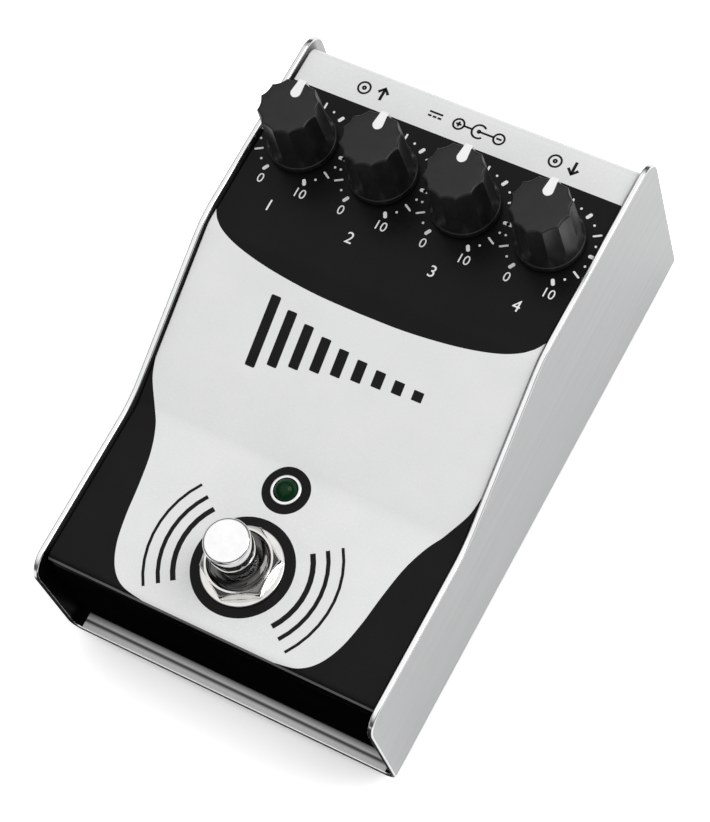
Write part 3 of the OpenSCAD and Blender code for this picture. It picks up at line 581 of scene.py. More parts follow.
placedPieces = placedTree()
flatStrokes = sweptTree(True)
roundWires = sweptTree(False)
dialScale = dialScaleTree()
fadingBars = fadingBarsTree()
print("node trees built:", len(bpy.data.node_groups))


def repeatedMesh(name, mesh, places, finish):
    source = newObject("source", mesh)
    repeated = grownMesh(name, makeMesh(name, places, []), placedPieces, {"Piece": source, "Finish": finish})
    bpy.data.objects.remove(source)
    return repeated


def sweptMesh(name, lines, tree, width, height, finish):
    # each line is (points, closed)
    points = []
    edges = []
    for line, closed in lines:
        first = len(points)
        points += [Vector(p) for p in line]
        edges += [(k, k + 1) for k in range(first, len(points) - 1)]
        if closed:
            edges.append((len(points) - 1, first))
    base = makeMesh(name, points, [], edges=edges)
    swept = grownMesh(name, base, tree, {"Width": width * mm, "Height": height * mm, "Finish": finish})
    return smoothed(swept, sharpAngle=40)


# Camera, floor and light

cameraLook = {"place": (0.203807, -0.165605, 0.542481), "turn": (24.5791, 10.8091, 28.8535),
              "lens": 126.533, "sensor": 36.0, "nearest": 0.01}
stageLook = {"floorSize": 8.0, "floorDrop": 0.0001, "shownWhite": 1.0, "floorWhite": 1.65, "bounce": 0.75,
             "frontDark": 0.02, "darkMiddle": -0.010, "darkEdge": (0.046, -0.062), "darkFade": (0.004, 0.012),
             "worldLight": 0.77, "horizon": 0.06, "zenith": 1.05, "domeFoot": 0.40, "domeHead": 0.86,
             "keyPower": 7.0, "keySize": 0.9, "keyPlace": (0.75, 0.5, 1.1)}


def setCamera(look):
    data = bpy.data.cameras.new("studioCamera")
    data.lens = look["lens"]
    data.sensor_width = look["sensor"]
    data.clip_start = look["nearest"]
    camera = newObject("studioCamera", data)
    camera.location = look["place"]
    camera.rotation_euler = [math.radians(a) for a in look["turn"]]
    scene.camera = camera


def rayKinds(tree):
    # what the camera sees, and what gloss and glass see
    rays = addNode(tree, "ShaderNodeLightPath").outputs
    gloss = worked(tree, "MAXIMUM", rays["Is Glossy Ray"], rays["Is Transmission Ray"])
    return rays["Is Camera Ray"], gloss


def setStage(look):
    half = look["floorSize"] / 2 / mm
    drop = -look["floorDrop"] / mm
    floorFinish = bpy.data.materials.new("paleFloor")
    floorFinish.use_nodes = True
    tree = floorFinish.node_tree
    tree.nodes.clear()
    seen, gloss = rayKinds(tree)
    # in reflections a strip of the floor in front of the case is dark
    spot = axesOf(tree, objectPlace(tree))
    aside = worked(tree, "ABSOLUTE", worked(tree, "SUBTRACT", spot["X"], look["darkMiddle"]))
    fades = [spread(tree, place, look["frontDark"], look["shownWhite"], edge, edge + fade)
             for place, edge, fade in zip((aside, spot["Y"]), look["darkEdge"], look["darkFade"])]
    bounced = spread(tree, gloss, look["bounce"], worked(tree, "MAXIMUM", *fades))
    shade = spread(tree, seen, bounced, look["floorWhite"])
    diffuse = addNode(tree, "ShaderNodeBsdfDiffuse", {"Color": shade})
    addNode(tree, "ShaderNodeOutputMaterial", {"Surface": diffuse.outputs[0]})
    corners = [(-half, -half, drop), (half, -half, drop), (half, half, drop), (-half, half, drop)]
    floor = newObject("floor", makeMesh("floor", corners, [(0, 1, 2, 3)], [floorFinish]))

    # sky that is darker round the horizon in reflections
    world = bpy.data.worlds.new("softStudio")
    scene.world = world
    world.use_nodes = True
    tree = world.node_tree
    tree.nodes.clear()
    seen, gloss = rayKinds(tree)
    upward = axesOf(tree, objectPlace(tree))["Z"]
    dome = spread(tree, upward, look["horizon"], look["zenith"], look["domeFoot"], look["domeHead"])
    light = spread(tree, gloss, look["worldLight"], dome)
    strength = spread(tree, seen, light, look["shownWhite"])
    sky = addNode(tree, "ShaderNodeBackground", {"Color": (1, 1, 1, 1), "Strength": strength})
    addNode(tree, "ShaderNodeOutputWorld", {"Surface": sky.outputs[0]})

    lamp = bpy.data.lights.new("softKey", "AREA")
    lamp.energy = look["keyPower"]
    lamp.size = look["keySize"]
    key = newObject("softKey", lamp)
    key.location = look["keyPlace"]
    key.rotation_euler = (-key.location).to_track_quat("-Z", "Y").to_euler()


scene.view_settings.view_transform = "Standard"
setCamera(cameraLook)
setStage(stageLook)
print("camera and stage set")


# Finishes. Grain is in waves a millimetre, bump in millimetres

def newFinish(name, color, roughness, settings=None):
    finish = bpy.data.materials.new(name)
    finish.use_nodes = True
    shader = finish.node_tree.nodes["Principled BSDF"]
    shader.inputs["Base Color"].default_value = (*color, 1)
    shader.inputs["Roughness"].default_value = roughness
    for socket, value in (settings or {}).items():
        shader.inputs[socket].default_value = value
    return finish, finish.node_tree, shader


grainLook = {"fineDetail": 4.0, "broadDetail": 2.0, "roughness": 0.6, "broadShare": 0.06, "usual": (0.3, 0.7)}


def noiseOf(tree, grain, stretch=(1, 1, 1), detail=grainLook["fineDetail"]):
    scale = [grain / mm * s for s in stretch]
    mapped = addNode(tree, "ShaderNodeMapping", {"Vector": objectPlace(tree), "Scale": scale})
    noise = addNode(tree, "ShaderNodeTexNoise", {
        "Vector": mapped.outputs[0], "Scale": 1.0, "Detail": detail, "Roughness": grainLook["roughness"]})
    return noise.outputs["Fac"]


def rampOf(tree, value, stops):
    # colours by (position, colour) stops
    ramp = addNode(tree, "ShaderNodeValToRGB", {"Fac": value})
    elements = ramp.color_ramp.elements
    for element, (position, color) in zip(elements, (stops[0], stops[-1])):
        element.position = position
        element.color = (*color, 1)
    for position, color in stops[1:-1]:
        elements.new(position).color = (*color, 1)
    return ramp.outputs["Color"]


def grainyFinish(name, dark, light, rough, grain, bump, stretch=(1, 1, 1), settings=None):
    # colour from a broad noise, roughness and relief from a fine one
    finish, tree, shader = newFinish(name, light, rough[1], settings)
    fine = noiseOf(tree, grain, stretch)
    broad = noiseOf(tree, grain * grainLook["broadShare"], stretch, grainLook["broadDetail"])
    color = rampOf(tree, broad, list(zip(grainLook["usual"], (dark, light))))
    tree.links.new(color, shader.inputs["Base Color"])
    tree.links.new(spread(tree, fine, *rough, *grainLook["usual"]), shader.inputs["Roughness"])
    relief = addNode(tree, "ShaderNodeBump", {"Height": fine, "Strength": 1.0, "Distance": bump * mm})
    tree.links.new(relief.outputs[0], shader.inputs["Normal"])
    return finish


def grey(value):
    return (value, value, value)


metal = {"Metallic": 1.0}
dullBlack = {"Specular IOR Level": 0.12}
along = (1, 0.03, 1)  # brushed along Y

# dark and light colour, range of roughness, grain and bump
satinSteel = grainyFinish("satinSteel", (0.475, 0.48, 0.485), (0.52, 0.525, 0.53), (0.12, 0.19), 12.0,
                          0.0002, along, metal)
# the sheet's edges: a lighter copy of the satin steel, a painted highlight
edgeHighlightSteel = grainyFinish("edgeHighlightSteel", (0.84, 0.845, 0.85), (0.92, 0.925, 0.93), (0.16, 0.24), 12.0, 0.0002,
                        along, metal)
panelWhite = grainyFinish("panelWhite", (0.755, 0.76, 0.765), (0.785, 0.79, 0.79), (0.22, 0.30), 1.4, 0.0012,
                          settings={"Coat Weight": 0.25, "Coat Roughness": 0.12})
panelBlack = grainyFinish("panelBlack", grey(0.0045), grey(0.006), (0.26, 0.36), 1.4, 0.0012,
                          settings=dullBlack)
# the front face and the lower bend: a darker copy of the panel black, painted shade
noseShadeBlack = grainyFinish("noseShadeBlack", grey(0.001), grey(0.0016), (0.22, 0.30), 1.4, 0.0008,
                         settings={"Specular IOR Level": 0.0})
bendShadeBlack = grainyFinish("bendShadeBlack", grey(0.001), grey(0.0016), (0.12, 0.18), 1.4, 0.0006,
                         settings={"Specular IOR Level": 0.04})
# painted highlight: a light grey line along the nose bend, in a paler copy of the black paint
bendHighlightLine = grainyFinish("bendHighlightLine", grey(0.085), grey(0.11), (0.26, 0.36), 1.4, 0.0008)
whiteInk = grainyFinish("whiteInk", grey(0.80), grey(0.86), (0.40, 0.50), 4.0, 0.001)
blackInk = grainyFinish("blackInk", grey(0.006), grey(0.009), (0.34, 0.44), 4.0, 0.001, settings=dullBlack)
footRubber = grainyFinish("footRubber", grey(0.012), grey(0.022), (0.72, 0.88), 5.0, 0.012)
zincSteel = grainyFinish("zincSteel", (0.52, 0.53, 0.54), (0.62, 0.63, 0.64), (0.26, 0.40), 5.0, 0.002,
                         settings=metal)
knobPlastic = grainyFinish("knobPlastic", grey(0.005), grey(0.008), (0.34, 0.44), 6.0, 0.003,
                           settings={"Specular IOR Level": 0.42})
pointerWhite = grainyFinish("pointerWhite", grey(0.82), grey(0.87), (0.34, 0.44), 5.0, 0.001)
shaftMetal = grainyFinish("shaftMetal", grey(0.60), grey(0.70), (0.20, 0.34), 9.0, 0.0008, (1, 1, 0.1), metal)
canSteel = grainyFinish("canSteel", (0.50, 0.50, 0.49), (0.62, 0.62, 0.60), (0.28, 0.42), 4.0, 0.002,
                        settings=metal)
bushBrass = grainyFinish("bushBrass", (0.62, 0.46, 0.20), (0.74, 0.57, 0.27), (0.22, 0.34), 6.0, 0.001,
                         settings=metal)
nickelPlate = grainyFinish("nickelPlate", (0.72, 0.715, 0.70), (0.80, 0.79, 0.77), (0.10, 0.17), 7.0, 0.0005,
                           settings=metal)
# a darker copy of the nickel plate for the switch bush, painted shade
shadedNickel = grainyFinish("shadedNickel", (0.10, 0.10, 0.097), (0.15, 0.147, 0.143), (0.07, 0.13), 7.0, 0.0005,
                          settings=metal)
waferBoard = grainyFinish("waferBoard", (0.20, 0.10, 0.035), (0.30, 0.16, 0.06), (0.45, 0.60), 3.0, 0.004)
switchChrome = grainyFinish("switchChrome", grey(0.90), grey(0.96), (0.03, 0.07), 8.0, 0.0002, settings=metal)
switchPlastic = grainyFinish("switchPlastic", (0.012, 0.045, 0.17), (0.02, 0.07, 0.24), (0.36, 0.48), 5.0,
                             0.003)
springSteel = grainyFinish("springSteel", grey(0.50), grey(0.62), (0.22, 0.32), 6.0, 0.001, settings=metal)
contactBrass = grainyFinish("contactBrass", (0.66, 0.49, 0.22), (0.78, 0.60, 0.30), (0.20, 0.32), 6.0, 0.001,
                            settings=metal)
bezelMetal = grainyFinish("bezelMetal", grey(0.80), grey(0.88), (0.16, 0.26), 8.0, 0.0006, settings=metal)
blackPlastic = grainyFinish("blackPlastic", grey(0.010), grey(0.017), (0.38, 0.52), 5.0, 0.003)
capacitorSleeve = grainyFinish("capacitorSleeve", (0.010, 0.016, 0.07), (0.02, 0.03, 0.11), (0.26, 0.36), 4.0,
                               0.002)
batteryCase = grainyFinish("batteryCase", (0.34, 0.20, 0.055), (0.44, 0.27, 0.08), (0.24, 0.34), 2.0, 0.002,
                           settings={"Metallic": 0.6})
foam = grainyFinish("foam", grey(0.018), grey(0.045), (0.88, 0.98), 3.0, 0.10)
leadRed = grainyFinish("leadRed", (0.42, 0.010, 0.008), (0.55, 0.02, 0.014), (0.36, 0.48), 5.0, 0.002)
leadWhite = grainyFinish("leadWhite", grey(0.66), grey(0.76), (0.36, 0.48), 5.0, 0.002)
leadYellow = grainyFinish("leadYellow", (0.62, 0.38, 0.012), (0.74, 0.48, 0.02), (0.36, 0.48), 5.0, 0.002)


brushLook = {"grain": 12.0, "tone": (0.92, 1.04)}
boardLook = {"color": (0.01, 0.10, 0.035), "rough": 0.32, "scale": 420.0, "gap": 0.06, "relief": 0.02,
             "masks": [(0.008, 0.085, 0.03, 1), (0.012, 0.11, 0.04, 1)], "track": (0.03, 0.20, 0.07, 1)}
lensLook = {"color": (0.004, 0.05, 0.014), "middle": (0.004, 0.06, 0.016), "rim": (0.0006, 0.010, 0.003),
            "glow": (1.2, 3.2), "rough": 0.10, "gloss": 0.15, "grain": 6.0, "relief": 0.001}


def alongFinish(name, stops, rough, settings):
    # sheet whose grey changes along Y, by (millimetres, grey) stops, with a brushed grain over it
    finish, tree, shader = newFinish(name, grey(stops[0][1]), rough[1], settings)
    first, last = stops[0][0], stops[-1][0]
    share = spread(tree, axesOf(tree, objectPlace(tree))["Y"], 0.0, 1.0, first * mm, last * mm)
    greys = rampOf(tree, share, [((y - first) / (last - first), grey(shade)) for y, shade in stops])
    fine = noiseOf(tree, brushLook["grain"], along)
    grain = spread(tree, fine, *brushLook["tone"], *grainLook["usual"])
    tone = addNode(tree, "ShaderNodeVectorMath", {0: greys, "Scale": grain}, operation="SCALE")
    tree.links.new(tone.outputs[0], shader.inputs["Base Color"])
    tree.links.new(spread(tree, fine, *rough), shader.inputs["Roughness"])
    return finish


def boardFinish(look):
    # green solder mask over faint copper tracks
    finish, tree, shader = newFinish("boardGreen", look["color"], look["rough"])
    tracks = addNode(tree, "ShaderNodeTexBrick", {
        "Vector": objectPlace(tree), "Scale": look["scale"], "Mortar Size": look["gap"],
        "Color1": look["masks"][0], "Color2": look["masks"][1], "Mortar": look["track"]})
    tree.links.new(tracks.outputs["Color"], shader.inputs["Base Color"])
    relief = addNode(tree, "ShaderNodeBump", {
        "Height": tracks.outputs["Fac"], "Distance": look["relief"] * mm})
    tree.links.new(relief.outputs[0], shader.inputs["Normal"])
    return finish


def lensFinish(look, centre):
    # deep green resin with a painted glow: lighter green round the chip in the middle, darker towards the rim
    finish, tree, shader = newFinish("lensGreen", look["color"], look["rough"],
                                     {"Specular IOR Level": look["gloss"]})
    offset = addNode(tree, "ShaderNodeVectorMath", {0: objectPlace(tree), 1: centre * mm},
                     operation="DISTANCE").outputs["Value"]
    glow = spread(tree, offset, 0.0, 1.0, *[reach * mm for reach in look["glow"]])
    color = rampOf(tree, glow, [(0.0, look["middle"]), (1.0, look["rim"])])
    tree.links.new(color, shader.inputs["Base Color"])
    speckle = addNode(tree, "ShaderNodeBump", {
        "Height": noiseOf(tree, look["grain"]), "Distance": look["relief"] * mm})
    tree.links.new(speckle.outputs[0], shader.inputs["Normal"])
    return finish


boardGreen = boardFinish(boardLook)
lensGreen = lensFinish(lensLook, centreMm("led_lens"))
print("finishes made:", len(bpy.data.materials))

# Pieces inside the case keep their CAD shape
innerFinishes = {
    "clinch_nuts": zincSteel, "pot_bushes": bushBrass, "pot_nuts": nickelPlate, "pot_washers": nickelPlate,
    "pot_wafers": waferBoard, "pot_pins": nickelPlate, "footswitch_body": switchPlastic,
    "footswitch_lugs": contactBrass, "footswitch_lock_nut": nickelPlate, "input_jack": blackPlastic,
    "output_jack": blackPlastic, "jack_contacts": nickelPlate, "supply_jack_spring": contactBrass,
    "main_board": boardGreen, "delay_chip": blackPlastic, "op_amp_chips": blackPlastic,
    "regulator": blackPlastic, "capacitors": capacitorSleeve, "battery": batteryCase,
    "battery_snap": blackPlastic}
innerFinishes.update({name + "_shaft": shaftMetal for name in dialNames})
innerFinishes.update({name + "_pot": canSteel for name in dialNames})
for node, finish in innerFinishes.items():
    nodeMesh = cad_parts[node].data
    nodeMesh.materials.clear()
    nodeMesh.materials.append(finish)
print("inner pieces dressed:", len(innerFinishes))


# Top panel: painted sheet, white with a black field behind and a black apron in front

panelLook = {
    "thickness": 1.2, "edge": 0.3, "bend": 2.5, "rampFoot": 7.0, "rampTop": 7.0, "flange": 9.0,
    "rampBottomY": -21.9, "rampTopY": 14.8, "frontTop": 33.4, "reliefWide": 1.75, "reliefTop": 6.3,
    "dialHole": 3.65, "switchHole": 6.15, "lightHole": 2.95, "jackHole": 4.85, "supplyHole": 5.65,
    "screwHole": 1.7, "fieldRear": 50.2, "fieldHalf": 38.5, "noseShare": 8 / 15, "lineShare": 2 / 15,
    "fieldCurve": [(0, 9.7), (10, 9.9), (20, 10.8), (27.5, 12.1), (32.6, 13.7), (35.8, 15.8), (38.5, 20.0)],
    "apronCurve": [(38.0, -10.0), (37.2, -12.5), (36.2, -16), (33.6, -20.5), (31.2, -24.5), (29.2, -30),
                   (27.9, -37), (27.0, -43.5), (25.6, -49.5), (23.3, -54.0), (20, -56.6), (15, -57.6)],
    "switchRing": 10.6, "lightDisc": 5.0}
panelLow, panelHigh = boxMm("top_panel")
panelHalf = panelHigh.x
dialPlaces = [centreMm(name + "_shaft") for name in dialNames]
switchPlace = centreMm("footswitch_button")
lightPlace = centreMm("led_lens")
jackPlaces = [centreMm("input_jack_bush"), centreMm("output_jack_bush")]
supplyPlace = centreMm("supply_jack_nut")
screwLook = {"headRadius": 2.8, "headRounds": [0, 0.7, 0.1, 0], "radius": 1.45, "pitch": 0.5,
             "threadDepth": 0.25, "threadFoot": 0.1, "threadHead": 0.5, "tipIn": 0.5, "slotLong": 3.2,
             "slotWide": 0.8, "slotDeep": 1.2, "slotTaper": 0.4, "slotIn": 0.2, "segments": 48}
screwLow, screwHigh = boxMm("panel_screws")
screwPlaces = [(x, y) for x in (screwLow.x + screwLook["headRadius"], screwHigh.x - screwLook["headRadius"])
               for y in (screwLow.y + screwLook["headRadius"], screwHigh.y - screwLook["headRadius"])]


def topPanelMesh(look):
    front, rear, low, high = panelLow.y, panelHigh.y, panelLow.z, panelHigh.z
    corners = [(front + look["flange"], low), (front, low), (front, look["frontTop"]),
               (look["rampBottomY"], look["frontTop"]), (look["rampTopY"], high), (rear, high),
               (rear, low), (rear - look["flange"], low)]
    bend = look["bend"]
    path = foldPath(corners, [0, bend, bend, look["rampFoot"], look["rampTop"], bend, bend, 0])
    total = path[-1][2]

    def alongAt(axis, value, first):
        # distance along the path where the stretch after a corner reaches a place
        a, b = Vector(corners[first]), Vector(corners[first + 1])
        way = (b - a).normalized()
        run = [(p, s) for p, n, s in path if (p - a - way * way.dot(p - a)).length < 1e-3
               and -0.01 < way.dot(p - a) < (b - a).length + 0.01]
        share = (value - run[0][0][axis]) / (run[-1][0][axis] - run[0][0][axis])
        return run[0][1] + share * (run[-1][1] - run[0][1])

    def onTop(y):
        if y > look["rampTopY"] + 1:
            return alongAt(0, y, 4)
        return alongAt(0, y, 3 if y > look["rampBottomY"] else 2)

    reliefFront = alongAt(1, look["reliefTop"], 1)
    reliefRear = alongAt(1, look["reliefTop"], 5)
    narrow = panelHalf - look["reliefWide"]
    outline = [(narrow, 0), (narrow, reliefFront), (panelHalf, reliefFront), (panelHalf, reliefRear),
               (narrow, reliefRear), (narrow, total)]
    outline = [Vector(p) for p in outline] + [Vector((-x, s)) for x, s in reversed(outline)]

    switchAlong, lightAlong = onTop(switchPlace.y), onTop(lightPlace.y)
    holes = [(p.x, onTop(p.y), look["dialHole"]) for p in dialPlaces]
    holes.append((0, switchAlong, look["switchHole"]))
    holes.append((0, lightAlong, look["lightHole"]))
    rearAlong = alongAt(1, supplyPlace.z, 5)
    holes += [(p.x, rearAlong, look["jackHole"]) for p in jackPlaces]
    holes.append((0, rearAlong, look["supplyHole"]))
    for x, y in screwPlaces:
        holes.append((x, alongAt(0, y, 0 if y < 0 else 6), look["screwHole"]))

    wide = look["fieldHalf"]
    fieldHalf = [Vector((p.x, onTop(p.y))) for p in smoothLine(look["fieldCurve"])]
    fieldCurve = [Vector((-p.x, p.y)) for p in reversed(fieldHalf[1:])] + fieldHalf
    rearLine = onTop(look["fieldRear"])
    field = fieldCurve + [Vector((wide, rearLine)), Vector((-wide, rearLine))]
    apronHalf = [Vector((p.x, onTop(p.y))) for p in smoothLine(look["apronCurve"])]
    apronCurve = apronHalf + [Vector((-p.x, p.y)) for p in reversed(apronHalf)]
    apron = apronCurve + [Vector((-wide, -1)), Vector((wide, -1))]
    rings = [(0, switchAlong, look["switchRing"]), (0, lightAlong, look["lightDisc"])]
    # the nose's bend: painted shade in a darker black up to a painted highlight line, which ends where the
    # flat paint starts
    faceTop = alongAt(1, look["frontTop"] - bend, 1)
    noseTop = faceTop + bend * math.pi / 2 * look["noseShare"]
    lineLow = noseTop - bend * math.pi / 2 * look["lineShare"]
    finishes = [panelWhite, panelBlack, noseShadeBlack, zincSteel, bendShadeBlack, bendHighlightLine]

    def zoneOf(points, onEdge):
        black = insidePolygon(points, [tuple(p) for p in field])
        black |= insidePolygon(points, [tuple(p) for p in apron])
        for u, s, radius in rings:
            black |= np.hypot(points[:, 0] - u, points[:, 1] - s) < radius
        zones = black.astype(int)
        for top, finish in ((noseTop, bendHighlightLine), (lineLow, bendShadeBlack), (faceTop, noseShadeBlack)):
            zones[points[:, 1] < top] = finishes.index(finish)
        return zones, np.full(len(points), finishes.index(zincSteel))

    zoneLines = [fieldCurve, [(-wide, rearLine), (wide, rearLine)], apronCurve]
    for ring in rings:
        loop = circleLoop(*ring)
        zoneLines.append(loop + loop[:1])
    return foldedSheet("top_panel_sheet", path, outline, holes, look, lambda u, a, b: (u, a, b), finishes,
                       zoneOf, zoneLines)


shown("top_panel_sheet", topPanelMesh(panelLook), "case", ["top_panel"])
print("top panel folded")


# Chassis: one satin sheet, floor and two cheeks, with its cut edges in a lighter copy of the steel as a
# painted highlight

chassisLook = {"thickness": 1.2, "edge": 0.35, "bend": 2.9, "frontTop": 34.6, "cornerRound": 5.0,
               "rampRound": 22.0, "screwHole": 1.7,
               "lipPaintedLightGreys": [(4.0, 0.97), (2.35, 0.97), (2.05, 0.6), (1.85, 0.13), (1.6, 0.11), (1.4, 0.4),
                            (1.2, 0.97), (0.7, 0.68), (0.3, 0.45), (0.0, 0.16)],
               "frontShadeGreys": [(1, 0.0013), (5, 0.03)], "rearLightGreys": [(-8, 0.03), (0, 0.24), (1, 0.6)],
               "lipGap": 0.1}
caseLow, caseHigh = boxMm("chassis")
# the lip's greys are painted light and shade, by distance in front of the panel: bright strips as painted
# reflection, a painted shadow line between them, and painted shade darkening towards the panel
lipPaintedLightSteel = alongFinish("lipPaintedLightSteel", [(panelLow.y - d, shade) for d, shade in chassisLook["lipPaintedLightGreys"]],
                       (0.44, 0.52), {"Metallic": 0.3})
# inside, painted shade and light by distance from the panel's ends: near black beside the front face, lighter
# towards the rear ends
innerPaintedShadeGreys = [(panelLow.y + d, shade) for d, shade in chassisLook["frontShadeGreys"]]
innerPaintedShadeGreys += [(panelHigh.y + d, shade) for d, shade in chassisLook["rearLightGreys"]]
innerPaintedShadeSteel = alongFinish("innerPaintedShadeSteel", innerPaintedShadeGreys, (0.24, 0.32), {"Specular IOR Level": 0.06})


def chassisMesh(look):
    right, low, high = caseHigh.x, caseLow.z, caseHigh.z
    path = foldPath([(right, high), (right, low), (-right, low), (-right, high)],
                    [0, look["bend"], look["bend"], 0])
    total = path[-1][2]
    drop = high - look["frontTop"]
    cheek = [(caseLow.y, drop), (panelLook["rampBottomY"], drop), (panelLook["rampTopY"], 0), (caseHigh.y, 0)]
    corners = cheek + [(y, total - s) for y, s in reversed(cheek)]
    rounds = [look["cornerRound"], look["rampRound"], look["rampRound"], look["cornerRound"]]
    outline = roundedLoop(corners, rounds + rounds[::-1], 5)
    holes = [(y, total / 2 - x, look["screwHole"]) for x, y in screwPlaces]

    lipRear = panelLow.y + look["lipGap"]
    finishes = [satinSteel, edgeHighlightSteel, lipPaintedLightSteel, innerPaintedShadeSteel]
    cut, lip, inside = (finishes.index(finish) for finish in (edgeHighlightSteel, lipPaintedLightSteel, innerPaintedShadeSteel))

    def zoneOf(points, onEdge):
        onLip = (np.abs(points[:, 1] - total / 2) < right - look["bend"]) & (points[:, 0] < lipRear)
        return onEdge.astype(int), np.select([onEdge, onLip], [cut, lip], inside)
    return foldedSheet("chassis_sheet", path, outline, holes, look, lambda u, a, b: (a, u, b), finishes,
                       zoneOf, [[(lipRear, -1), (lipRear, total + 1)]], flip=True)


shown("chassis_sheet", chassisMesh(chassisLook), "case", ["chassis"])
print("chassis folded")


# Knobs: fluted body over a round skirt, hollow below, with a white pointer let in

knobLook = {"base": 0.5, "skirtRound": 0.25, "skirtRadius": 7.2, "skirtTop": 2.1, "skirtLean": 0.1,
            "waist": 6.9, "stepOut": 0.05, "stepRise": 0.12, "stepRound": 0.15, "ribFootIn": 0.12,
            "ribFootRise": 1.2, "ribTop": 6.3, "ribCurve": 0.85, "ribRows": 12, "height": 15.1,
            "topRound": 0.5, "topRows": 5, "crown": 3.2, "fluteCount": 12, "fluteDepth": 0.5,
            "fluteStart": 2.9, "fluteFull": 7.0, "cavity": 6.17, "cavityTop": 3.4, "bushRoom": 3.9,
            "bushTop": 5.6, "bore": 3.03, "boreTop": 13.15, "boreFlat": 1.55, "flatRise": 0.5,
            "flatFoot": 0.45, "segments": 192}
pointerLook = {"width": 2.3, "rimWidth": 1.7, "roundEnd": 3.2, "endAngles": range(6, 91, 12), "depth": 0.8,
               "drop": 4.0, "proud": 0.05, "edge": 0.12}


def knobRows(look):
    def fluted(height, radius):
        rise = (height - look["fluteStart"]) / (look["fluteFull"] - look["fluteStart"])
        rise = min(1.0, max(0.0, rise))
        deep = look["fluteDepth"] * rise * rise * (3 - 2 * rise)

        def at(angle):
            # sharp ridges, one of them at the rear, with hollow flutes between
            share = ((angle - math.pi / 2) * look["fluteCount"] / (2 * math.pi)) % 1.0
            return radius - deep * (1 - (2 * share - 1) ** 2), height
        return at

    def flatted(height):
        # round bore with its flat towards the front
        def at(angle):
            toFlat = -math.sin(angle)
            if toFlat > look["boreFlat"] / look["bore"]:
                return look["boreFlat"] / toFlat, height
            return look["bore"], height
        return at

    base, skirt, soft, step = look["base"], look["skirtRadius"], look["skirtRound"], look["skirtTop"]
    rows = [(0, look["boreTop"]), flatted(look["boreTop"]), flatted(look["bushTop"] + look["flatRise"]),
            (look["bore"], look["bushTop"] + look["flatFoot"]), (look["bore"], look["bushTop"]),
            (look["bushRoom"], look["bushTop"]), (look["bushRoom"], look["cavityTop"]),
            (look["cavity"], look["cavityTop"])]
    rows += roundedRows([(look["cavity"], base), (skirt - look["skirtLean"], base), (skirt, step),
                         (look["waist"] + look["stepOut"], step + look["stepRise"]),
                         (look["waist"] - look["ribFootIn"], step + look["ribFootRise"])],
                        [0, soft, soft, look["stepRound"], 0], 22)
    shoulder = look["height"] - look["topRound"]
    foot = rows[-1]
    for k in range(1, look["ribRows"] + 1):
        share = k / look["ribRows"]
        rows.append(fluted(foot[1] + (shoulder - foot[1]) * share,
                           foot[0] + (look["ribTop"] - foot[0]) * share ** look["ribCurve"]))
    for k in range(1, look["topRows"] + 1):
        angle = math.pi / 2 * k / look["topRows"]
        rows.append(fluted(shoulder + look["topRound"] * math.sin(angle),
                           look["ribTop"] - look["topRound"] * (1 - math.cos(angle))))
    return rows + [(look["crown"], look["height"]), (0, look["height"])]


def pointerMesh(look, knob):
    # strip over the top, round the rim and down the rear side, standing a little proud
    top = knob["height"] + look["proud"]
    rim = knob["ribTop"] + look["proud"]
    tip = look["roundEnd"] - look["width"] / 2
    half = look["width"] / 2
    slope = (knob["waist"] - knob["ribTop"]) / (knob["height"] - knob["skirtTop"])
    line = foldPath([(tip, top), (rim, top), (rim + slope * look["drop"], top - look["drop"])],
                    [0, knob["topRound"], 0], step=15)
    stations = []
    for angle in look["endAngles"]:
        a = math.radians(angle)
        stations.append((Vector((tip + half * (1 - math.cos(a)), top)), Vector((0, 1)), half * math.sin(a)))
    stations += [(p, n, look["rimWidth"] / 2) for p, n, _ in line[1:]]
    points = []
    for p, n, wide in stations:
        lip = min(look["edge"], wide * 0.5)
        floor = p - n * look["depth"]
        floor = Vector((min(floor.x, rim - look["depth"]), min(floor.y, top - look["depth"])))
        shoulder = p - n * lip
        for across, at in ((-wide, floor), (-wide, shoulder), (-wide + lip, p),
                           (wide - lip, p), (wide, shoulder), (wide, floor)):
            points.append((across, at.x, at.y))
    count = 6
    faces = [tuple(range(count))]
    for k in range(len(stations) - 1):
        for i in range(count):
            j = (i + 1) % count
            faces.append((k * count + i, (k + 1) * count + i, (k + 1) * count + j, k * count + j))
    faces.append(tuple(reversed(range((len(stations) - 1) * count, len(stations) * count))))
    return smoothed(closedUp(makeMesh("pointer_strip", points, faces, [pointerWhite])), sharpAngle=40)


def addKnobs():
    pointer = pointerMesh(pointerLook, knobLook)
    blank = turnedMesh("knob_blank", knobRows(knobLook), knobLook["segments"], knobPlastic)
    knob = smoothed(cutMesh(blank, pointer.copy()), sharpAngle=34)
    for name, place in zip(dialNames, dialPlaces):
        seat = Matrix.Translation((place.x, place.y, panelHigh.z))
        shown(name + "_knob_fluted", copiedMesh(knob, seat), name + "_dial", [name + "_knob"])
        shown(name + "_pointer_inlay", copiedMesh(pointer, seat), name + "_dial", [name + "_pointer"])
    print("knobs turned:", len(knob.polygons), "faces each")


addKnobs()


# Footswitch: chromed button in a threaded bush, with its nut, washer and return spring

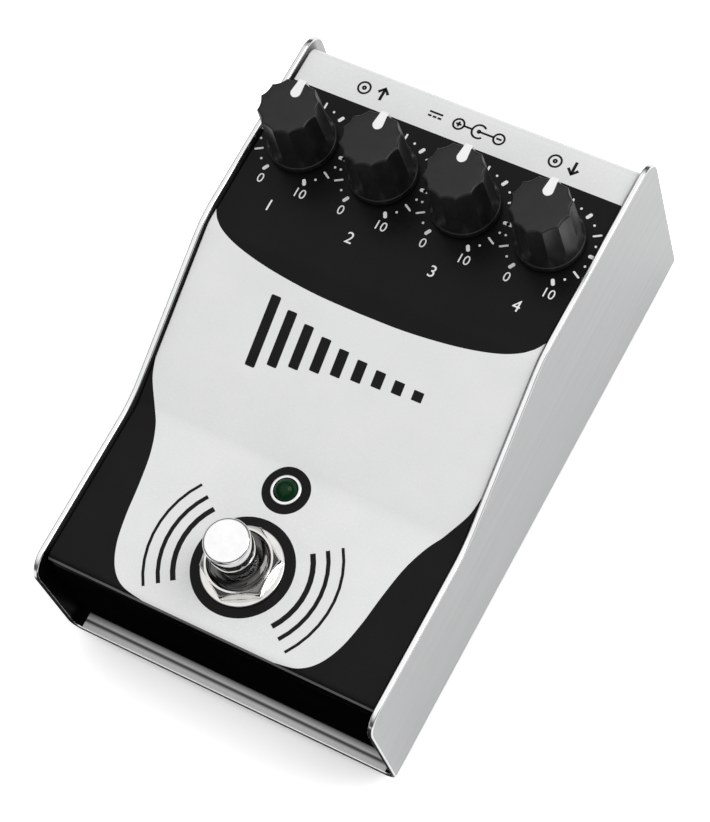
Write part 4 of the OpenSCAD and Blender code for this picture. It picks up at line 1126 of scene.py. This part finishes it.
switchLook = {"headRadius": 4.8, "headLow": 42.4, "stemRadius": 3.5, "stopRadius": 5.2, "stopTop": 26.4,
              "stopLow": 24.8, "guideRadius": 2.4,
              "buttonRounds": [0, 0.3, 0.2, 0.3, 0.3, 0.2, 0.25, 0.5, 0.7, 0], "bushRadius": 6.0,
              "bushBore": 3.54, "bushTop": 39.0, "plateHalf": 8.6, "plateTop": 28.2, "plateLow": 26.7,
              "plateEdge": 0.25, "pitch": 0.8, "threadDepth": 0.42, "threadFoot": 0.3, "threadHead": 0.6,
              "tipDrop": 0.35, "tipIn": (0.05, 0.4), "mouth": 0.5, "nutFlats": 14.0, "nutLow": 34.2,
              "nutTop": 37.2, "nutHole": 6.03, "nutSlope": 1.1, "nutTurn": 28, "washerRadius": 8.5,
              "washerLow": 33.4, "washerTop": 34.2, "washerEdge": 0.22, "segments": 96}
springLook = {"wire": 0.8, "radius": 3.2, "curls": 6.0, "low": 14.1, "high": 23.9, "closed": 0.75,
              "keep": 0.717, "stepsPerCurl": 24}


def addSwitch(look):
    seat = Matrix.Translation((switchPlace.x, switchPlace.y, 0))
    bottom, top = boxMm("footswitch_button")
    segments = look["segments"]
    heights = [bottom.z, look["stopLow"], look["stopTop"], look["headLow"], top.z]
    radii = [look["guideRadius"], look["stopRadius"], look["stemRadius"], look["headRadius"]]
    corners = [(0, bottom.z)]
    for radius, low, high in zip(radii, heights, heights[1:]):
        corners += [(radius, low), (radius, high)]
    rows = roundedRows(corners + [(0, top.z)], look["buttonRounds"], 9)
    button = turnedMesh("button", rows, segments, switchChrome)
    shown("footswitch_button_chrome", copiedMesh(button, seat), "footswitch_plunger", ["footswitch_button"])

    def square(height, inset):
        half = look["plateHalf"] - inset
        return lambda a: (half / max(abs(math.cos(a)), abs(math.sin(a))), height)
    bore, root, high = look["bushBore"], look["bushRadius"] - look["threadDepth"], look["bushTop"]
    low, top, edge = look["plateLow"], look["plateTop"], look["plateEdge"]
    rows = [(bore, low), square(low, edge), square(low + edge, 0), square(top - edge, 0), square(top, edge),
            (root, top)]
    rows += threadRows(look["bushRadius"], top + look["threadFoot"], high - look["threadHead"], look["pitch"],
                       look["threadDepth"])
    rows += [(root - look["tipIn"][0], high - look["tipDrop"]), (root - look["tipIn"][1], high),
             (bore + look["mouth"], high), (bore, high - look["mouth"])]
    # the bush is in the darker nickel copy, painted shade
    bush = turnedMesh("bush", rows, segments, shadedNickel, ring=True)
    shown("footswitch_bush_threaded", copiedMesh(bush, seat), "case", ["footswitch_bush"])

    nut = nutMesh(look["nutFlats"], look["nutHole"], look["nutLow"], look["nutTop"], look["nutSlope"],
                  nickelPlate)
    tightened = seat @ Matrix.Rotation(math.radians(look["nutTurn"]), 4, "Z")
    shown("footswitch_nut_faced", copiedMesh(nut, tightened), "case", ["footswitch_nut"])
    rows = ringRows(look["nutHole"], look["washerRadius"], look["washerLow"], look["washerTop"],
                    look["washerEdge"])
    washer = turnedMesh("washer", rows, segments, nickelPlate, ring=True)
    shown("footswitch_washer_rounded", copiedMesh(washer, seat), "case", ["footswitch_washer"])


def addSpring(look):
    # round wire with closed end curls
    climb = look["high"] - look["low"] - 2 * look["closed"] * look["wire"]
    middle = look["curls"] - 2 * look["closed"]
    line = []
    for k in range(int(look["curls"] * look["stepsPerCurl"]) + 1):
        turn = k / look["stepsPerCurl"]
        rise = min(turn, look["closed"]) * look["wire"]
        rise += min(max(turn - look["closed"], 0), middle) / middle * climb
        rise += max(turn - look["closed"] - middle, 0) * look["wire"]
        angle = 2 * math.pi * turn
        line.append((switchPlace.x + look["radius"] * math.cos(angle),
                     switchPlace.y + look["radius"] * math.sin(angle), look["low"] + rise))
    mesh = sweptMesh("footswitch_spring_wound", [(line, False)], roundWires, look["wire"], look["wire"],
                     springSteel)
    spring = shown("footswitch_spring_wound", mesh, "case", ["footswitch_spring"])
    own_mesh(spring)


addSwitch(switchLook)
addSpring(springLook)
print("footswitch made")


# Status light: domed lens in a pale ring

lightLook = {"lensRadius": 2.5, "collar": 1.0, "collarEdge": 0.1, "domeStep": 6, "bezelRadius": 3.2,
             "bezelRounds": [0.05, 0.1, 0, 0.08, 0.24, 0.1], "hole": 2.53, "sleeve": 2.9, "segments": 72}


def addLight(look):
    low, high = boxMm("led_lens")
    surface = panelLook["frontTop"]
    radius, sleeve, edge = look["lensRadius"], look["sleeve"], look["collarEdge"]
    collarTop, spring = low.z + look["collar"], high.z - radius
    rows = [(0, low.z), (sleeve - edge, low.z), (sleeve, low.z + edge), (sleeve, collarTop - edge),
            (sleeve - edge, collarTop), (radius, collarTop), (radius, spring)]
    for angle in range(look["domeStep"], 90, look["domeStep"]):
        a = math.radians(angle)
        rows.append((radius * math.cos(a), spring + radius * math.sin(a)))
    seat = Matrix.Translation((lightPlace.x, lightPlace.y, 0))
    lens = turnedMesh("lens", rows + [(0, high.z)], look["segments"], lensGreen)
    shown("led_lens_domed", copiedMesh(lens, seat), "case", ["led_lens"])
    bezelLow, bezelHigh = boxMm("led_bezel")
    rows = roundedRows([(look["hole"], bezelLow.z), (sleeve, bezelLow.z), (sleeve, surface),
                        (look["bezelRadius"], surface), (look["bezelRadius"], bezelHigh.z),
                        (look["hole"], bezelHigh.z)], look["bezelRounds"], 18, True)
    bezel = turnedMesh("bezel", rows, look["segments"], bezelMetal, ring=True)
    shown("led_bezel_rounded", copiedMesh(bezel, seat), "case", ["led_bezel"])


addLight(lightLook)
print("status light made")


# Rear sockets: threaded bushes, washers and nuts, all along +Y

socketLook = {"bushRadius": 4.7, "bore": 3.3, "pitch": 0.75, "threadDepth": 0.4, "threadFoot": 0.2,
              "threadHead": 0.5, "tipIn": 0.2, "mouth": 0.35, "washerRadius": 7.0, "washerGap": 0.05,
              "washerThick": 0.5, "washerEdge": 0.15, "nutFlats": 12.7, "nutGap": 0.03, "nutThick": 2.0,
              "nutSlope": 0.7, "supplyFlats": 14.0, "supplyBarrel": 5.5, "supplySlope": 0.8,
              "supplyEdge": 0.15, "pinEdge": 0.12, "segments": 96}
towardsRear = Matrix.Rotation(math.radians(-90), 4, "X")


def addSockets(look):
    surface = panelHigh.y
    bore, radius = look["bore"], look["bushRadius"]
    root = radius - look["threadDepth"]
    for node, place in zip(["input_jack_bush", "output_jack_bush"], jackPlaces):
        low, high = boxMm(node)
        rows = [(bore, low.y), (root, low.y)]
        rows += threadRows(radius, low.y + look["threadFoot"], high.y - look["threadHead"], look["pitch"],
                           look["threadDepth"])
        rows += [(root - look["tipIn"], high.y), (bore + look["mouth"], high.y),
                 (bore, high.y - look["mouth"])]
        bush = turnedMesh(node, rows, look["segments"], nickelPlate, ring=True)
        seat = Matrix.Translation((place.x, 0, place.z)) @ towardsRear
        shown(node + "_threaded", copiedMesh(bush, seat), "case", [node])

    places = [(p.x, 0, p.z) for p in jackPlaces]
    washerTop = surface + look["washerThick"]
    rows = ringRows(radius + look["washerGap"], look["washerRadius"], surface, washerTop, look["washerEdge"])
    washer = turnedMesh("washer", rows, look["segments"], nickelPlate, ring=True)
    washers = repeatedMesh("jack_washers_rounded", copiedMesh(washer, towardsRear), places, nickelPlate)
    shown("jack_washers_rounded", washers, "case", ["jack_washers"])
    nut = nutMesh(look["nutFlats"], radius + look["nutGap"], washerTop, washerTop + look["nutThick"],
                  look["nutSlope"], nickelPlate)
    nuts = repeatedMesh("jack_nuts_faced", copiedMesh(nut, towardsRear), places, nickelPlate)
    shown("jack_nuts_faced", nuts, "case", ["jack_nuts"])

    low, high = boxMm("supply_jack_nut")
    nut = nutMesh(look["supplyFlats"], look["supplyBarrel"] + look["nutGap"], low.y, high.y,
                  look["supplySlope"], blackPlastic)
    seat = Matrix.Translation((supplyPlace.x, 0, supplyPlace.z)) @ towardsRear
    shown("supply_jack_nut_faced", copiedMesh(nut, seat), "case", ["supply_jack_nut"])
    for node, edge, finish, slot in (("supply_jack", look["supplyEdge"], blackPlastic, "black_plastic"),
                                     ("supply_jack_pin", look["pinEdge"], nickelPlate, "nickel_plate")):
        shown(node + "_softened", softenedMesh(node, edge, finish), "case", [node])


addSockets(socketLook)
print("rear sockets made")


# Underside: rubber feet and cross-slot screws

footLook = {"radius": 6.35, "taper": 1.0, "rounds": [0, 0.5, 0.5, 0.15, 0], "dish": 0.25, "dishRadius": 3.6,
            "dishSlope": 0.6, "segments": 72}


def addUnderside(foot, screw):
    low, high = boxMm("rubber_feet")
    reach, taper, dish = foot["radius"], foot["taper"], low.z + foot["dish"]
    rows = [(0, dish), (foot["dishRadius"] - foot["dishSlope"], dish)]
    rows += roundedRows([(foot["dishRadius"], low.z), (reach - taper, low.z), (reach, low.z + taper),
                         (reach, high.z), (0, high.z)], foot["rounds"], 12)
    pad = turnedMesh("foot", rows, foot["segments"], footRubber)
    places = [(x, y, 0) for x in (low.x + reach, high.x - reach) for y in (low.y + reach, high.y - reach)]
    shown("rubber_feet_dished", repeatedMesh("rubber_feet_dished", pad, places, footRubber), "case",
          ["rubber_feet"])

    base, top = caseLow.z, screwHigh.z
    rows = roundedRows([(0, screwLow.z), (screw["headRadius"], screwLow.z), (screw["headRadius"], base),
                        (screw["radius"], base)], screw["headRounds"], 12)
    rows += threadRows(screw["radius"], base + screw["threadFoot"], top - screw["threadHead"], screw["pitch"],
                       screw["threadDepth"])
    rows += [(screw["radius"] - screw["tipIn"], top), (0, top)]
    blank = turnedMesh("screw", rows, screw["segments"], zincSteel)
    deep = screwLow.z + screw["slotDeep"]
    slotRows = [(0, screwLow.z - 1), (0, deep - screw["slotTaper"]), (screw["slotIn"], deep)]
    for long, wide in ((screw["slotLong"], screw["slotWide"]), (screw["slotWide"], screw["slotLong"])):
        loop = [Vector((x * long / 2, y * wide / 2)) for x, y in ((-1, -1), (1, -1), (1, 1), (-1, 1))]
        blank = cutMesh(blank, slabMesh("slot", loop, slotRows, zincSteel))
    places = [(x, y, 0) for x, y in screwPlaces]
    screws = smoothed(repeatedMesh("panel_screws_slotted", smoothed(blank), places, zincSteel))
    shown("panel_screws_slotted", screws, "case", ["panel_screws"])


addUnderside(footLook, screwLook)
print("feet and screws made")


# Leads and battery pad inside the case

# routes are (y, z) points
leadLook = {"thick": 1.2, "solderY": 20.0, "turnZ": 32.4, "lightX": 1.27, "lightY": -25.5, "lightDrop": 3,
            "lightRoute": [(-20.5, 25.2), (-6.625, 25.2), (6.625, 26.2)], "supplyStart": (3.6, 43.8, 1.2),
            "jackStarts": [(0, 26.3, 4.3), (5, 26.3, -3.9)], "jackStraight": 2, "jackBow": 1, "snapX": 21,
            "snapGap": 1.25, "snapY": 2, "snapRise": 4, "snapRoute": [(6.625, 27.2)], "lane": 27.5,
            "laneGap": 2, "laneStart": (-3, -19.25, 1), "laneRoute": [(-6.625, 13.2), (13.25, 23.2)],
            "lugGap": 5, "lugStraight": 4}
padLook = {"edge": 0.5, "edgeSteps": 4, "corner": 1.5, "fill": 0.9}


def leadLine(points):
    # straight at both ends, where the wire is held
    return [Vector(points[0])] + smoothLine(points[1:-1]) + [Vector(points[-1])], False


def addLeads(look):
    board = boxMm("main_board")[0].z
    solder = [(look["solderY"], look["turnZ"]), (look["solderY"], board)]

    def routed(x, route):
        return [(x, y, z) for y, z in route + solder]

    def shownLeads(node, lines, finish):
        mesh = sweptMesh(node + "_wires", lines, roundWires, look["thick"], look["thick"], finish)
        shown(node + "_wires", mesh, "case", [node])

    lensLow = boxMm("led_lens")[0].z
    route = [(look["lightY"], lensLow), (look["lightY"], lensLow - look["lightDrop"])] + look["lightRoute"]
    lines = [leadLine(routed(x, route)) for x in (-look["lightX"], look["lightX"])]
    shownLeads("led_leads", lines, leadWhite)

    x, y, z = look["supplyStart"]
    starts = [(x, y, z), (-x, y, z)]
    for place in jackPlaces:
        starts += [(place.x + x, y, z) for x, y, z in look["jackStarts"]]
    lines = []
    for x, y, z in starts:
        foot = Vector((x, y, supplyPlace.z + z))
        rise = board - foot.z
        ways = [(0, 0), (0, look["jackStraight"]), (-look["jackBow"], rise / 2),
                (0, rise - look["jackStraight"]), (0, rise)]
        lines.append(leadLine([foot + Vector((0, dy, dz)) for dy, dz in ways]))
    shownLeads("jack_leads", lines, leadYellow)

    snapTop = boxMm("battery_snap")[1].z
    lines = []
    for side in (-1, 1):
        y = side * look["snapY"]
        route = [(y, snapTop), (y, snapTop + look["snapRise"])] + look["snapRoute"]
        lines.append(leadLine(routed(look["snapX"] + look["snapGap"] * side, route)))
    shownLeads("battery_leads", lines, leadRed)

    lugs = centreMm("footswitch_lugs")
    lugY = boxMm("footswitch_lugs")[1].y
    lines = []
    for k in (-1, 0, 1):
        lug, lane = look["lugGap"] * k, look["lane"] + look["laneGap"] * k
        aside, y, rise = look["laneStart"]
        starts = [(lug, lugY, lugs.z), (lug, lugY + look["lugStraight"], lugs.z),
                  (lane + aside, y, lugs.z + rise)]
        lines.append(leadLine(starts + routed(lane, look["laneRoute"])))
    shownLeads("switch_leads", lines, leadYellow)


def addPad(look):
    low, high = boxMm("battery_pad")
    corners = [(low.x, low.y), (high.x, low.y), (high.x, high.y), (low.x, high.y)]
    loop = roundedLoop(corners, [look["corner"]] * 4, 15)
    edge, steps = look["edge"], look["edgeSteps"]
    arcs = [math.pi / 2 * k / steps for k in range(steps + 1)]
    rows = [(edge * (1 - math.sin(a)), low.z + edge * (1 - math.cos(a))) for a in arcs]
    rows += [(edge * (1 - math.cos(a)), high.z - edge * (1 - math.sin(a))) for a in arcs]
    mesh = slabMesh("battery_pad_foam", loop, rows, foam)
    pad = shown("battery_pad_foam", mesh, "case", ["battery_pad"])


addLeads(leadLook)
addPad(padLook)
print("leads and pad laid")


# Printed marks, lying on the paint

# dial marks: count, first angle, step, radius, width, length
inkLook = {"thick": 0.04, "sunk": 0.01, "font": 2.9, "bigFont": 3.6, "zeroX": -4.3, "tenX": 4.8, "endY": 27.5,
           "numberX": 0.4, "numberY": 22.7, "cornerShare": 0.45,
           "dialMarks": [(6, -150, 60, 9.0, 0.75, 1.5), (5, -120, 60, 9.15, 0.42, 1.9),
                         (10, -135, 30, 9.0, 0.5, 0.5)]}
signLook = {"y": 54.0, "line": 0.42, "arrowLine": 0.62, "jackWays": [(-22.7, 1), (20.8, -1)], "jackRing": 1.3,
            "jackDot": 0.3, "arrowX": 4.2, "arrow": [(0, -1.4), (0, 1.5)],
            "barbs": [(-1.1, 0.3), (0, 1.5), (1.1, 0.3)], "directX": -6.2, "directGap": 0.45,
            "directLine": (-1.5, 1.5), "directDashes": [(-1.5, -0.7), (-0.4, 0.4), (0.7, 1.5)],
            "plusX": -0.9, "cupX": 3.7, "minusX": 8.2, "poleRing": 1.15, "pole": 0.6, "cup": 1.5,
            "cupStart": 45, "cupSweep": 270, "cupDot": 0.25}
barLook = {"count": 9, "spacing": 4.4, "fade": 0.78, "width": 2.2, "tall": 15.0, "corner": 0.35,
           "middleY": 0.0}
arcLook = {"radii": [14.0, 17.0, 20.0], "widths": [1.1, 0.85, 0.6], "reach": 36}


def numeralMesh(text, size, x, y, z):
    data = bpy.data.curves.new("numeral", "FONT")
    data.body = text
    data.size = size * mm
    data.align_x = "CENTER"
    data.align_y = "CENTER"
    data.extrude = inkLook["thick"] / 2 * mm
    mesh = closedUp(appliedMesh(newObject("numeral", data)))
    return copiedMesh(mesh, Matrix.Translation((x, y, z)))


def ring(x, y, z, radius, start=0, sweep=360):
    steps = max(8, round(sweep / 8))
    closed = sweep == 360
    turns = [math.radians(start + sweep * k / steps) for k in range(steps + (0 if closed else 1))]
    return [(x + radius * math.cos(a), y + radius * math.sin(a), z) for a in turns], closed


def stroke(x, y, z, *ends):
    return [(x + dx, y + dy, z) for dx, dy in ends], False


def signMeshes(look, level):
    # socket signs on the rear strip: ring and dot with an arrow out or in, and the supply's polarity
    y, pole = look["y"], look["pole"]
    plusX, cupX, minusX = look["plusX"], look["cupX"], look["minusX"]

    def levelRun(x0, x1, rise=0.0):
        return stroke(0, y + rise, level, (x0, 0), (x1, 0))

    strokes = []
    arrows = []
    for x, way in look["jackWays"]:
        strokes += [ring(x, y, level, look["jackRing"]), ring(x, y, level, look["jackDot"])]
        for ends in (look["arrow"], look["barbs"]):
            arrows.append(stroke(x + look["arrowX"], y, level, *[(dx, dy * way) for dx, dy in ends]))
    for rise, runs in ((look["directGap"], [look["directLine"]]), (-look["directGap"], look["directDashes"])):
        strokes += [levelRun(look["directX"] + a, look["directX"] + b, rise) for a, b in runs]
    strokes += [ring(plusX, y, level, look["poleRing"]), levelRun(plusX - pole, plusX + pole),
                stroke(plusX, y, level, (0, -pole), (0, pole))]
    strokes += [ring(cupX, y, level, look["cup"], look["cupStart"], look["cupSweep"]),
                ring(cupX, y, level, look["cupDot"]), levelRun(plusX + look["poleRing"], cupX - look["cup"])]
    strokes += [ring(minusX, y, level, look["poleRing"]), levelRun(minusX - pole, minusX + pole),
                levelRun(cupX + look["cupDot"], minusX - look["poleRing"])]
    return [sweptMesh("signs", strokes, flatStrokes, look["line"], inkLook["thick"], blackInk),
            sweptMesh("arrows", arrows, flatStrokes, look["arrowLine"], inkLook["thick"], blackInk)]


def addInk():
    level =panelHigh.z + inkLook["thick"] / 2 - inkLook["sunk"]
    front = panelLook["frontTop"] + inkLook["thick"] / 2 - inkLook["sunk"]
    white = []
    dialPoints = [(p.x, p.y, panelHigh.z - inkLook["sunk"]) for p in dialPlaces]
    for count, first, step, radius, width, length in inkLook["dialMarks"]:
        values = {"Count": count, "First": math.radians(first), "Step": math.radians(step),
                  "Radius": radius * mm, "Width": width * mm, "Length": length * mm,
                  "Height": inkLook["thick"] * mm, "Corner": width * inkLook["cornerShare"] * mm,
                  "Finish": whiteInk}
        white.append(grownMesh("marks", makeMesh("marks", dialPoints, []), dialScale, values))
    for k, place in enumerate(dialPlaces):
        white.append(numeralMesh("0", inkLook["font"], place.x + inkLook["zeroX"], inkLook["endY"], level))
        white.append(numeralMesh("10", inkLook["font"], place.x + inkLook["tenX"], inkLook["endY"], level))
        white.append(numeralMesh(str(k + 1), inkLook["bigFont"], place.x + inkLook["numberX"],
                                 inkLook["numberY"], level))
    shown("panel_ink_white", joinedMesh("panel_ink_white", white, whiteInk), "case", [])

    black = signMeshes(signLook, level)
    reach = arcLook["reach"]
    for radius, width in zip(arcLook["radii"], arcLook["widths"]):
        arcs = [ring(switchPlace.x, switchPlace.y, front, radius, turn - reach, 2 * reach)
                for turn in (0, 180)]
        black.append(sweptMesh("arcs", arcs, flatStrokes, width, inkLook["thick"], blackInk))

    # fading bars up the ramp
    rise = (panelHigh.z - panelLook["frontTop"]) / (panelLook["rampTopY"] - panelLook["rampBottomY"])
    values = {"Count": barLook["count"], "Spacing": barLook["spacing"] * mm, "Fade": barLook["fade"],
              "Width": barLook["width"] * mm, "Length": barLook["tall"] * mm, "Height": inkLook["thick"] * mm,
              "Corner": barLook["corner"] * mm, "Finish": blackInk}
    bars = grownMesh("bars", makeMesh("bars", [(0, 0, 0)], []), fadingBars, values)
    middle = (-(barLook["count"] - 1) / 2 * barLook["spacing"], barLook["middleY"],
              panelLook["frontTop"] + rise * (barLook["middleY"] - panelLook["rampBottomY"]))
    tilt = Matrix.Translation(middle) @ Matrix.Rotation(math.atan(rise), 4, "X")
    black.append(copiedMesh(bars, tilt @ Matrix.Translation((0, 0, -inkLook["sunk"]))))
    shown("panel_ink_black", joinedMesh("panel_ink_black", black, blackInk), "case", [])


addInk()
print("marks printed")
